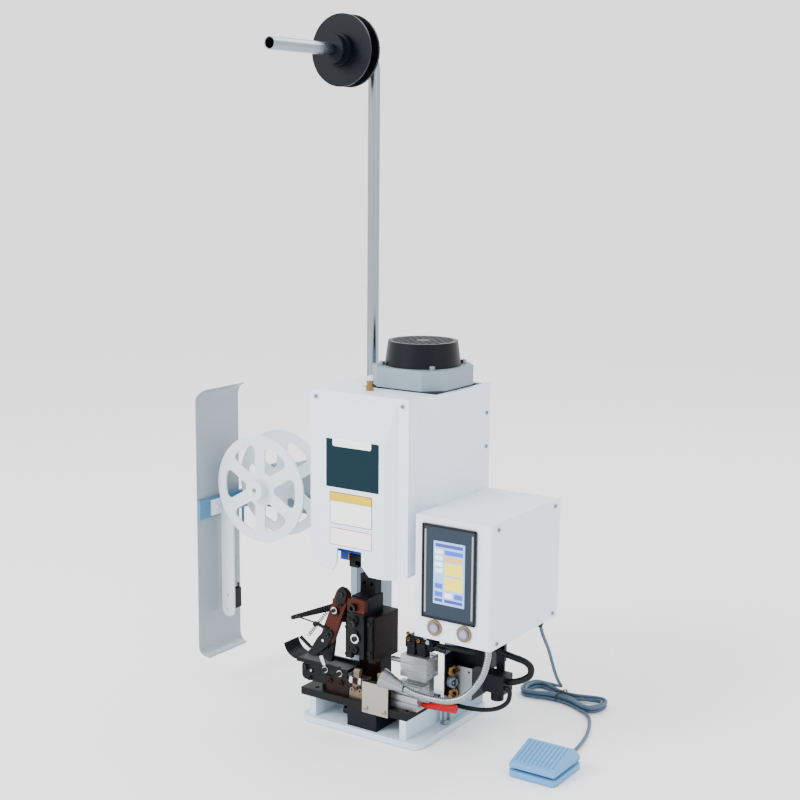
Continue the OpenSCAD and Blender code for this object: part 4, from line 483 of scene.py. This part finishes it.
# bare label plates of the front cover, in the photograph's colours, with a plain border and no lettering
labelPlates = dict(
    teal=dict(x0=-55, x1=43, z0=385, z1=461, colour="#06222c", rim="#e9eef0", corner=3, rise=0),
    tab=dict(x0=-42, x1=28, z0=449, z1=461.5, colour="#f4f6f7", rim="#f4f6f7", corner=3.5, rise=0.3),
    body=dict(x0=-47, x1=30, z0=330, z1=366, colour="#f3f5f8", rim="#1c2350", corner=2, rise=0),
    header=dict(x0=-47, x1=30, z0=364.5, z1=379, colour="#d6b200", rim="#1c2350", corner=2, rise=0.1),
    white=dict(x0=-47, x1=30, z0=297, z1=324, colour="#f6f1f1", rim="#b81830", corner=2, rise=0),
)
labelForm = dict(face=-112.0, backLift=0.25, backDepth=0.3, faceLift=0.45, faceDepth=0.25, border=1.0,
                 soft=0.1)
labelPaper = dict(rough=(0.45, 0.55), grain=700, bump=0.05, edge=0.0002, specular=0.1)
for key, v in labelPlates.items():
    rimFinish = makeFinish(key + "Rim", v["rim"], vary=0.015, **labelPaper)
    faceFinish = makeFinish(key + "Label", v["colour"], vary=0.03, **labelPaper)
    front, border, soft = labelForm["face"] - v["rise"], labelForm["border"], labelForm["soft"]
    addPlate(key + "LabelBack", v["x0"], v["x1"], v["z0"], v["z1"], front - labelForm["backLift"],
             labelForm["backDepth"], v["corner"], rimFinish, soft)
    addPlate(key + "LabelFace", v["x0"] + border, v["x1"] - border, v["z0"] + border, v["z1"] - border,
             front - labelForm["faceLift"], labelForm["faceDepth"], v["corner"] - border, faceFinish, soft)
print("labels placed")


# turned piece: rings of a profile (distance along the axis, radius, six) about an axis, all in mm;
# where six is 1 the ring is a hexagon of that inner radius: r / cos(angle from the nearest flat)
def turnedGrid(profile, place, axis, sides):
    p = np.asarray(profile, float)
    a = ringAngles(sides)
    six = 1 / np.cos((a + math.pi / 6) % (math.pi / 3) - math.pi / 6)
    axis = unit(np.asarray(axis, float))
    side = unit(np.cross(axis, (0.2, 0.1, 1.0) if abs(axis[2]) < 0.9 else (1.0, 0.0, 0.0)))
    above = np.cross(axis, side)
    r = p[:, 1, None] * (1 + p[:, 2, None] * (six[None, :] - 1))
    points = np.asarray(place, float) + p[:, 0, None, None] * axis + r[..., None] * (
        np.cos(a)[:, None] * side + np.sin(a)[:, None] * above)
    return points.reshape(-1, 3) * mm, ringFaces(len(p), sides)


turnedForm = dict(sides=36, fewSides=20, sharp=32, perRib=6)


def addTurned(name, profile, place, axis, finish, body="frame", sides=turnedForm["sides"]):
    piece = addPiece(name, *turnedGrid(profile, place, axis, sides), body=body, material=made[finish])
    piece.data.set_sharp_from_angle(angle=math.radians(turnedForm["sharp"]))


# socket screw seen from its head: shares of its diameter and height, then mm
screwForm = dict(chamfer=0.06, socket=0.27, mouth=1.12, bottom=0.45, washerBore=0.8, entry=0.2,
                 washerEdge=0.7, washerTop=1.0, washerBevel=0.3, seat=0.9)


# the head has a chamfered rim and a hexagon socket, and a washer adds a ring beneath it
def addScrew(name, place, d, h, finish="screwBlack", axis=(0, -1, 0), washer=0.0, body="frame",
             washerFinish="screwBright"):
    form = screwForm
    r, c, s, low = d / 2, d * form["chamfer"], d * form["socket"], 0.0
    if washer:
        w, low = washer / 2, form["seat"]
        addTurned(name + "Washer", [(0, w, 0), (form["washerEdge"], w, 0),
                                    (form["washerTop"], w - form["washerBevel"], 0),
                                    (form["washerTop"], r * form["washerBore"], 0)],
                  place, axis, washerFinish, body)
    top = low + h
    addTurned(name, [(low, r, 0), (top - c, r, 0), (top, r - c, 0), (top, s * form["mouth"], 1),
                     (top - form["entry"], s, 1), (low + h * form["bottom"], s, 1)],
              place, axis, finish, body)


# straight rod that tapers and, with ribs, dips between them: z the way along it of its length L,
# r = d / 2 * (1 - depth * (1 - cos(2 pi ribs z / L)) / 2)
def addRod(name, ends, d, finish, body="frame", ribs=0, depth=0.12, taper=1.0):
    a, b = np.asarray(ends[0], float), np.asarray(ends[1], float)
    long = float(np.linalg.norm(b - a))
    count = max(2, ribs * turnedForm["perRib"] + 1)
    z = np.linspace(0, long, count)
    wave = 1 - depth * (0.5 - 0.5 * np.cos(2 * math.pi * ribs * z / long))
    r = d / 2 * wave * np.linspace(1, taper, count)
    addTurned(name, np.stack([z, r, 0 * z], axis=1), a, b - a, finish, body, sides=turnedForm["fewSides"])


outlineForm = dict(steps=5, mostShare=0.45, sharp=25)


# plate in the x-z plane from its corner points: each corner is rounded by a quadratic curve, and the
# front ring is drawn in by soft along the outline's inward normals
def addOutline(name, corners, front, depth, finish, body="frame", soft=0.5, rounding=2.0):
    c = np.asarray(corners, float)
    t = np.linspace(0, 1, outlineForm["steps"])[:, None]
    ring = []
    for a, b, d in zip(np.roll(c, 1, axis=0), c, np.roll(c, -1, axis=0)):
        r = min(rounding, outlineForm["mostShare"] * min(np.linalg.norm(a - b), np.linalg.norm(d - b)))
        u, v = unit(a - b), unit(d - b)
        ring.append((1 - t) ** 2 * (b + r * u) + 2 * t * (1 - t) * b + t ** 2 * (b + r * v))
    ring = np.vstack(ring)
    after = np.roll(ring, -1, axis=0)
    if np.sum(ring[:, 0] * after[:, 1] - ring[:, 1] * after[:, 0]) < 0:
        ring = ring[::-1]
    along = np.roll(ring, -1, axis=0) - np.roll(ring, 1, axis=0)
    inward = np.stack([-along[:, 1], along[:, 0]], axis=1) / np.linalg.norm(along, axis=1)[:, None]
    n = len(ring)
    rows = [(ring + inset * inward, np.full(n, y))
            for inset, y in ((0.0, front + depth), (0.0, front + soft), (soft, front))]
    points = np.vstack([np.column_stack([flat[:, 0], y, flat[:, 1]]) for flat, y in rows])
    piece = addPiece(name, points * mm, plateFaces(n), body, material=made[finish])
    piece.data.set_sharp_from_angle(angle=math.radians(outlineForm["sharp"]))


# corner points of an upright rectangle
def box(x0, x1, z0, z1):
    return [(x0, z0), (x1, z0), (x1, z1), (x0, z1)]


# applicator: screws on the crimper holder, its ram block and the gib strip
applicator = dict(ramFace=-96.5, ramPlate=9, holderFace=-97, bossFace=-100, gibFace=-91, gibDepth=8)
ramFace, holderFace, bossFace, gibFace = (applicator[k + "Face"] for k in ("ram", "holder", "boss", "gib"))
addOutline("ramFacePlate", box(-26, 6, 190.5, 212), ramFace, applicator["ramPlate"], "brownOxide", "ram")
addScrew("ramFaceBolt", (-13, ramFace, 199), 13, 7, body="ram")
addScrew("holderScrewMid", (-13, bossFace, 174), 11.5, 2.5, washer=14, body="ram",
         washerFinish="blackOxide")
addScrew("holderScrewLow", (-9, bossFace, 151), 9, 2.5, washer=15, body="ram")
for k, (x, z) in enumerate([(-23, 180), (-23, 133), (2.5, 184)]):
    addScrew("holderCorner%d" % k, (x, holderFace, z), 5, 1.6, body="ram")
addOutline("gibStrip", box(6.5, 16, 120, 186), gibFace, applicator["gibDepth"], "blackOxide", soft=0.6,
           rounding=1)
for k, z in enumerate((175, 129)):
    addScrew("gibScrew%d" % k, (11.3, gibFace, z), 6.5, 2.2)

# feed arm: the lever's black insert and bolts, the arm plate in front of it, the pawl, pins and rod
feedArm = dict(insertFace=-100.2, insertDepth=4, boltFace=-100.8, sideFace=-97.2, plateFace=-99.2,
               plateDepth=3.1, pawlFace=-101.8, pawlDepth=2.5, pinFace=-98, collarFace=-97.5, nutFace=-99)
insertFace, boltFace, sideFace, plateFace, pawlFace, pinFace, collarFace, nutFace = (
    feedArm[k + "Face"] for k in ("insert", "bolt", "side", "plate", "pawl", "pin", "collar", "nut"))
addOutline("leverInsert", [(-46, 199), (-28, 203), (-24, 222), (-34, 230), (-43, 222)], insertFace,
           feedArm["insertDepth"], "blackOxide", "feed_arm", rounding=4)
addScrew("leverInsertScrew", (-35, insertFace, 216), 9, 2, body="feed_arm")
addScrew("leverBolt", (-47.5, boltFace, 189), 7, 2.5, washer=11, body="feed_arm")
addScrew("leverSide", (-38, sideFace, 199), 7, 4, body="feed_arm")
addOutline("feedArmPlate", [(-98, 112), (-88, 106), (-62, 128), (-50, 150), (-60, 158), (-72, 148),
                            (-80, 140)], plateFace, feedArm["plateDepth"], "blackOxide", "feed_arm",
           rounding=3)
addScrew("feedArmPin", (-70, plateFace, 136), 4.5, 1, "screwBright", body="feed_arm")
addScrew("feedArmBolt", (-61, plateFace, 146), 7.5, 2.5, body="feed_arm")
addOutline("feedPawl", [(-76, 110), (-69, 113), (-63.5, 99), (-65, 95.5), (-69, 97)], pawlFace,
           feedArm["pawlDepth"], "screwBright", "feed_arm", rounding=1.5)
addRod("bentPin", [(-114, pinFace, 133), (-94, pinFace, 120)], 6, "blackOxide", "feed_arm", taper=0.9)
addRod("thinRod", [(-124.7, pinFace, 165), (-84.6, pinFace, 161.5)], 2.4, "blackOxide", "feed_arm")
addRod("thinRodCollar", [(-86, collarFace, 161.5), (-62, collarFace, 155)], 6, "blackOxide", "feed_arm",
       ribs=5, depth=0.25)
addScrew("thinRodNut", (-84, nutFace, 160), 8, 3, body="feed_arm")

# the chute's thin ribs follow its curl: an arc of the CAD radius about the curl's axis
chute = dict(centre=(-126.7, 118), radius=23.7, low=270, high=190, front=-89, back=-61, ribs=6, steps=16,
             ribRadius=0.5, ribSides=8)
turnAngles = np.radians(np.linspace(chute["low"], chute["high"], chute["steps"]))
for k, y in enumerate(np.linspace(chute["front"], chute["back"], chute["ribs"])):
    arc = np.stack([chute["centre"][0] + chute["radius"] * np.cos(turnAngles), np.full(chute["steps"], y),
                    chute["centre"][1] + chute["radius"] * np.sin(turnAngles)], axis=1)
    addPiece("chuteRib%d" % k, *tubeGrid(arc * mm, chute["ribRadius"] * mm, chute["ribSides"], (0, 1, 0)),
             material=made["blackOxide"])

# strip track: screws of the hanger and the drag block, and the bar behind them
stripTrack = dict(hangerFace=-95.2, screwFace=-93, barFace=-92.8, barDepth=3)
addScrew("hangerScrew0", (-108.3, stripTrack["hangerFace"], 84.2), 8, 2)
addScrew("hangerScrew1", (-95.1, stripTrack["hangerFace"], 81.1), 3.6, 2, "screwBright")
for k, (x, z) in enumerate([(-70.2, 87.0), (-42.5, 86.2)]):
    addScrew("trackScrew%d" % k, (x, stripTrack["screwFace"], z), 8, 2, washer=10.5)
addOutline("trackBar", box(-78, -28, 80, 92), stripTrack["barFace"], stripTrack["barDepth"], "blackOxide",
           rounding=1)

# anvil: slanting bits on the block, each a little further back, its two dark screws and the guard's two
anvil = dict(bitFace=-95.5, bitStep=0.5, bitDepth=4.5, screwFace=-92.2, guardFace=-97.8)
anvilBits = [(-20.5, 82, 6, 9), (-12.5, 81.5, 7, 9.5), (-4.5, 82, 5, 9), (1.5, 81, 5, 8)]
for k, (x, z, w, h) in enumerate(anvilBits):
    addOutline("anvilBit%d" % k, [(x - w / 2, z - h / 2), (x + w / 2, z - h / 2 - 1),
                                  (x + w / 2 + 1, z + h / 2), (x - w / 2 + 1.5, z + h / 2 + 1)],
               anvil["bitFace"] + anvil["bitStep"] * k, anvil["bitDepth"],
               "blackOxide" if k % 2 else "screwBright", rounding=1)
for k, x in enumerate((-24, -5.5)):
    addScrew("anvilScrew%d" % k, (x, anvil["screwFace"], 70), 9, 2.6)
domeProfile = [(0, 4.6, 0), (1.0, 4.4, 0), (2.0, 3.4, 0), (2.5, 1.4, 0)]
for k, x in enumerate((12.5, 43.5)):
    addTurned("guardScrew%d" % k, domeProfile, (x, anvil["guardFace"], 41), (0, -1, 0), "screwBright")

# valves on the cylinders: their body with two lids, a row of slanting fittings, an elbow and its hose
valve = dict(fittingFace=-51, front=-50, depth=22, lidLift=1.6, hoseWidth=9)
for k, (x, z) in enumerate([(57, 158), (72, 160), (88, 157), (58, 148), (76, 149), (92, 150)]):
    addScrew("valveFitting%d" % k, (x, valve["fittingFace"], z), 6, 4,
             "screwBright" if k % 3 == 2 else "brassPlain", axis=(0, -0.7, 0.7))
addRod("valveElbow", [(96, -45, 143), (116, -40, 139)], valve["hoseWidth"], "hoseBlack", ribs=3, depth=0.2)
addOutline("valveBody", [(50, 136.5), (99, 136.5), (99, 150), (94, 156), (56, 157), (50, 152)],
           valve["front"], valve["depth"], "blackPlastic", soft=0.8, rounding=1.5)
for name, lid in (("valveLid", box(53, 68, 145, 153)), ("valveLidRight", box(78, 95, 145, 152))):
    addOutline(name, lid, valve["front"] - valve["lidLift"], valve["lidLift"], "blackOxide")
addRod("valveHose", [(99, -40, 145), (150, -10, 136)], valve["hoseWidth"], "hoseBlack", ribs=22, depth=0.1)

# air panel: brass hexagons, the grey knob and the bright socket box with its holes, each hole a flat black
# disc of painted shade
airPanel = dict(x=104.6, y=-7, axis=(1, -0.5, 0), socketFace=-0.9, socketDepth=0.9)
hexProfile = [(0, 8.6, 1), (11, 8.6, 1), (12.4, 7.6, 0), (12.4, 4.5, 0), (9, 4.5, 0)]
knobProfile = [(0, 9, 0), (9, 9, 0), (11.5, 7.8, 0), (11.5, 4.2, 0), (8, 4.2, 0), (8, 2.5, 0), (13, 2.2, 0)]
for name, profile, z, finish in (("brassHexTop", hexProfile, 99, "brassPlain"),
                                 ("brassHexLow", hexProfile, 62, "brassPlain"),
                                 ("greyKnob", knobProfile, 80, "knobGrey")):
    addTurned(name, profile, (airPanel["x"], airPanel["y"], z), airPanel["axis"], finish)
addOutline("socketFace", box(112.2, 139.8, 53.5, 104.5), airPanel["socketFace"], airPanel["socketDepth"],
           "panelMetal", rounding=1.5)
# painted shade: each hole is a thin black disc on the socket face, in the black screw finish, standing in
# for the shade inside the hole
for k, (x, z) in enumerate([(117, 98), (135, 98), (117, 60), (135, 60), (117, 79)]):
    addTurned("socketHoleShade%d" % k, [(0, 1.8, 0), (0.3, 1.8, 0)], (x, airPanel["socketFace"], z), (0, -1, 0),
              "screwBlack", sides=turnedForm["fewSides"])

# braided air hoses in place of the CAD tubes; the braid is a fine ripple of the radius, with a the angle
# round the hose and s the way along it: r = d / 2 * (1 + braid sin(n a + w s) sin(n a - w s))
hoseForm = dict(main=10.0, thin=7.0, braid=0.05, strands=5, twist=1.6, sides=20, steps=14)
mainHose = [(203, 0, 97), (212, 0, 99), (228, 0, 106), (240, 0, 116), (240, 1, 128), (228, 3, 134),
            (205, 6, 136), (190, 7.5, 138), (180, 8.8, 140.5), (173, 10.2, 143.5), (168.9, 12, 146)]
thinHose = [(203, -8, 90), (210, -8, 88), (210, -8, 76), (205, -8, 66), (192, -8, 56), (174, -8, 49),
            (152, -6, 44), (128, -3, 41), (112, 0, 40), (106, 4, 41), (105.3, 8, 44)]


def hoseGrid(points, d):
    path = smoothPath(points, hoseForm["steps"])
    strand = hoseForm["strands"] * ringAngles(hoseForm["sides"])[None, :]
    twist = hoseForm["twist"] * alongPath(path)[:, None]
    r = d / 2 * (1 + hoseForm["braid"] * np.sin(strand + twist) * np.sin(strand - twist))
    points, faces = tubeGrid(path, r, hoseForm["sides"])
    return points * mm, faces


for name, route, d in (("airHoseMain", mainHose, hoseForm["main"]),
                       ("airHoseThin", thinHose, hoseForm["thin"])):
    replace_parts(addPiece(name, *hoseGrid(route, d), material=made["hoseBlack"]), "air_hoses")

# lamp: the neck's steel spiral laid over the CAD neck
lampNeck = dict(inner=4.1, rise=0.9, pitch=4.0, steps=30, sides=20)
lampRoute = [(226, -102, 181), (226, -103, 168), (221, -105, 146), (211, -105, 128), (197, -105, 111),
             (181, -105, 99), (161, -105, 91.5), (138, -105, 89), (113, -105, 89), (98, -105, 91),
             (86, -106, 94.5)]
neck = smoothPath(lampRoute, lampNeck["steps"])
spiral = np.abs(np.sin(math.pi * alongPath(neck) / lampNeck["pitch"]))
neckRadius = lampNeck["inner"] + lampNeck["rise"] * spiral
addPiece("lampSpiral", *tubeGrid(neck * mm, neckRadius * mm, lampNeck["sides"]), material=made["chrome"])

# strain relief where the cord leaves the box
glandProfile = [(0, 5.4, 0), (1.6, 5.4, 0), (2.6, 4.6, 0), (5, 3.6, 0), (6, 3.0, 0)]
addTurned("cordGland", glandProfile, leadPoints[0], (0, 0, -1), "blackPlastic")

# cable tie round the hank's waist: a band with a rounded square section, y = sign(cos a) |cos a|^power
tie = dict(centre=(189, 205.5, 0.2), width=33, height=13, band=2.6, thick=1.0, lean=-5, power=0.6,
           steps=48)
cosine, sine = np.cos(ringAngles(tie["steps"])), np.sin(ringAngles(tie["steps"]))
across = np.stack([0 * sine, tie["width"] / 2 * np.sign(cosine) * np.abs(cosine) ** tie["power"],
                   tie["height"] / 2 * (1 + np.sign(sine) * np.abs(sine) ** tie["power"])], axis=1)
tieRows = []
for x, out in ((-1, 0), (-1, 1), (1, 1), (1, 0)):
    scale = [1, 1 + out * 2 * tie["thick"] / tie["width"], 1 + out * tie["thick"] / tie["height"]]
    tieRows.append(across * scale + [x * tie["band"] / 2, 0, 0])
cosLean, sinLean = math.cos(math.radians(tie["lean"])), math.sin(math.radians(tie["lean"]))
tiePoints = np.vstack(tieRows) @ np.array([[cosLean, sinLean, 0], [-sinLean, cosLean, 0], [0, 0, 1]])
addPiece("hankTie", (tiePoints + tie["centre"]) * mm, gridFaces(4, tie["steps"], closeRows=True),
         smooth=False, material=made["tieBlack"])
print("details placed")

# dark outer rim of the operator panel and the two bright strips beside its glass
panel = dict(x0=117.1, x1=208.1, z0=214, z1=355, front=-110, rim=3.2, rimLift=1.2, rimDepth=1.3,
             rimCorner=1.4, rimSoft=0.4, strip=3.0, stripGap=1.2, stripShort=8, stripLift=0.6,
             stripDepth=0.7, stripCorner=0.8, stripSoft=0.3)
panelRim = makeFinish("panelRim", "#070c14", rough=(0.3, 0.4), grain=700, edge=0.0008, specular=0.2)
rim, strip, x0, x1, z0, z1 = (panel[k] for k in ("rim", "strip", "x0", "x1", "z0", "z1"))
for name, sides in (("Left", (x0, x0 + rim, z0, z1)), ("Right", (x1 - rim, x1, z0, z1)),
                    ("Low", (x0, x1, z0, z0 + rim)), ("High", (x0, x1, z1 - rim, z1))):
    addPlate("panelRim" + name, *sides, panel["front"] - panel["rimLift"], panel["rimDepth"],
             panel["rimCorner"], panelRim, panel["rimSoft"])
for name, x in (("Left", x0 + rim + panel["stripGap"]), ("Right", x1 - rim - panel["stripGap"] - strip)):
    addPlate("panelStrip" + name, x, x + strip, z0 + panel["stripShort"], z1 - panel["stripShort"],
             panel["front"] - panel["stripLift"], panel["stripDepth"], panel["stripCorner"],
             made["chrome"], panel["stripSoft"])

# dark trim inside each button's ring, in front of its cap: how far out it is, and in from the cap's edge
trimProfile = [(-0.2, 0), (0.35, 0), (0.5, 0.4), (0.5, 1.6), (0.2, 1.8), (-0.2, 1.8)]
for node, body in (("start_button", "start"), ("reset_button", "reset")):
    corners = np.array([list(nodes[node].matrix_world @ Vector(c)) for c in nodes[node].bound_box]) / mm
    low, high = corners.min(axis=0), corners.max(axis=0)
    middle, r = (low + high) / 2, (high[0] - low[0]) / 2
    addTurned(node + "Trim", [(out, r - inward, 0) for out, inward in trimProfile],
              (middle[0], low[1], middle[2]), (0, -1, 0), "knobGrey", body=body)

# touch screen: plain coloured tiles in the recess of the panel, no lettering
screen = dict(x0=135.6, x1=189.6, z0=237, z1=332, front=-109.0, edge=0.6, ground=0.15, tile=0.3,
              corner=0.6, soft=0.05, glow=0.35)
tileColours = dict(sky="#7fb2e6", blue="#1f3fc4", yellow="#ecd81c", deep="#101e8c", orange="#e8a23c",
                   white="#e6eef6")


def glowFinish(name, colour):
    material = makeFinish(name, colour, rough=(0.12, 0.2), vary=0.02, grain=500, bump=0.0, edge=0.0001,
                          coat=0.6)
    shader = next(n for n in material.node_tree.nodes if n.type == "BSDF_PRINCIPLED")
    shader.inputs["Emission Color"].default_value = tint(colour)
    shader.inputs["Emission Strength"].default_value = screen["glow"]
    return material


glow = {name: glowFinish("tile" + name.capitalize(), c) for name, c in tileColours.items()}
# each tile: left, right, low, high as shares of the screen, and its colour
tiles = [(0.0, 1.0, 0.0, 1.0, "sky"), (0.06, 0.94, 0.91, 0.965, "deep"), (0.36, 0.94, 0.8, 0.87, "blue"),
         (0.36, 0.94, 0.7, 0.77, "orange"), (0.36, 0.94, 0.48, 0.67, "yellow"),
         (0.36, 0.94, 0.24, 0.45, "yellow"), (0.05, 0.3, 0.8, 0.87, "white"),
         (0.05, 0.3, 0.7, 0.77, "white"), (0.05, 0.3, 0.6, 0.67, "white"), (0.05, 0.3, 0.5, 0.57, "white"),
         (0.05, 0.3, 0.25, 0.33, "blue"), (0.05, 0.3, 0.12, 0.2, "blue"), (0.36, 0.62, 0.12, 0.2, "white"),
         (0.68, 0.94, 0.12, 0.2, "blue"), (0.36, 0.94, 0.04, 0.09, "deep"), (0.05, 0.3, 0.04, 0.09, "deep")]


def onScreen(low, high, share):
    return screen[low] + screen["edge"] + share * (screen[high] - screen[low] - 2 * screen["edge"])


for k, (left, right, low, high, colour) in enumerate(tiles):
    layer = screen["tile"] if k else screen["ground"]
    addPlate("screenTile%02d" % k, onScreen("x0", "x1", left), onScreen("x0", "x1", right),
             onScreen("z0", "z1", low), onScreen("z0", "z1", high), screen["front"] - layer, layer,
             screen["corner"], glow[colour], screen["soft"])
print("screen placed")

# plain floor and soft light round the object
stage = dict(half=6, floor=-0.001, world=1.9, target=(0, 0, 0.4))
floorMesh = bpy.data.meshes.new("paleFloor")
floorMesh.from_pydata([(x * stage["half"], y * stage["half"], stage["floor"])
                       for x, y in ((-1, -1), (1, -1), (1, 1), (-1, 1))], [], [(0, 1, 2, 3)])
floor = bpy.data.objects.new("paleFloor", floorMesh)
bpy.context.scene.collection.objects.link(floor)
floorMesh.materials.append(makeFinish("floorPaper", "#fbfbfb", rough=(0.7, 0.8), vary=0.005, grain=60,
                                      bump=0.0, edge=0.0001))

world = bpy.data.worlds.new("softStudio")
world.use_nodes = True
background = world.node_tree.nodes["Background"]
background.inputs[0].default_value = (1.0, 1.0, 1.0, 1)
background.inputs[1].default_value = stage["world"]
bpy.context.scene.world = world


# an area light at a place, facing the stage's target
def addLight(name, place, size, power):
    data = bpy.data.lights.new(name, "AREA")
    data.shape = "RECTANGLE"
    data.size, data.size_y = size
    data.energy = power
    light = bpy.data.objects.new(name, data)
    back = unit(np.array(place, float) - stage["target"])
    side = unit(np.cross((0, 0, 1), back))
    light.matrix_world = placeMatrix(side, np.cross(back, side), back, place)
    bpy.context.scene.collection.objects.link(light)


addLight("keyLight", (-1.2, -2.6, 2.4), (1.6, 1.6), 120)
addLight("rightLight", (2.8, -0.6, 1.6), (1.2, 1.8), 6)
addLight("rimLight", (0.2, 2.4, 2.6), (2.0, 1.2), 30)
print("stage and light set")
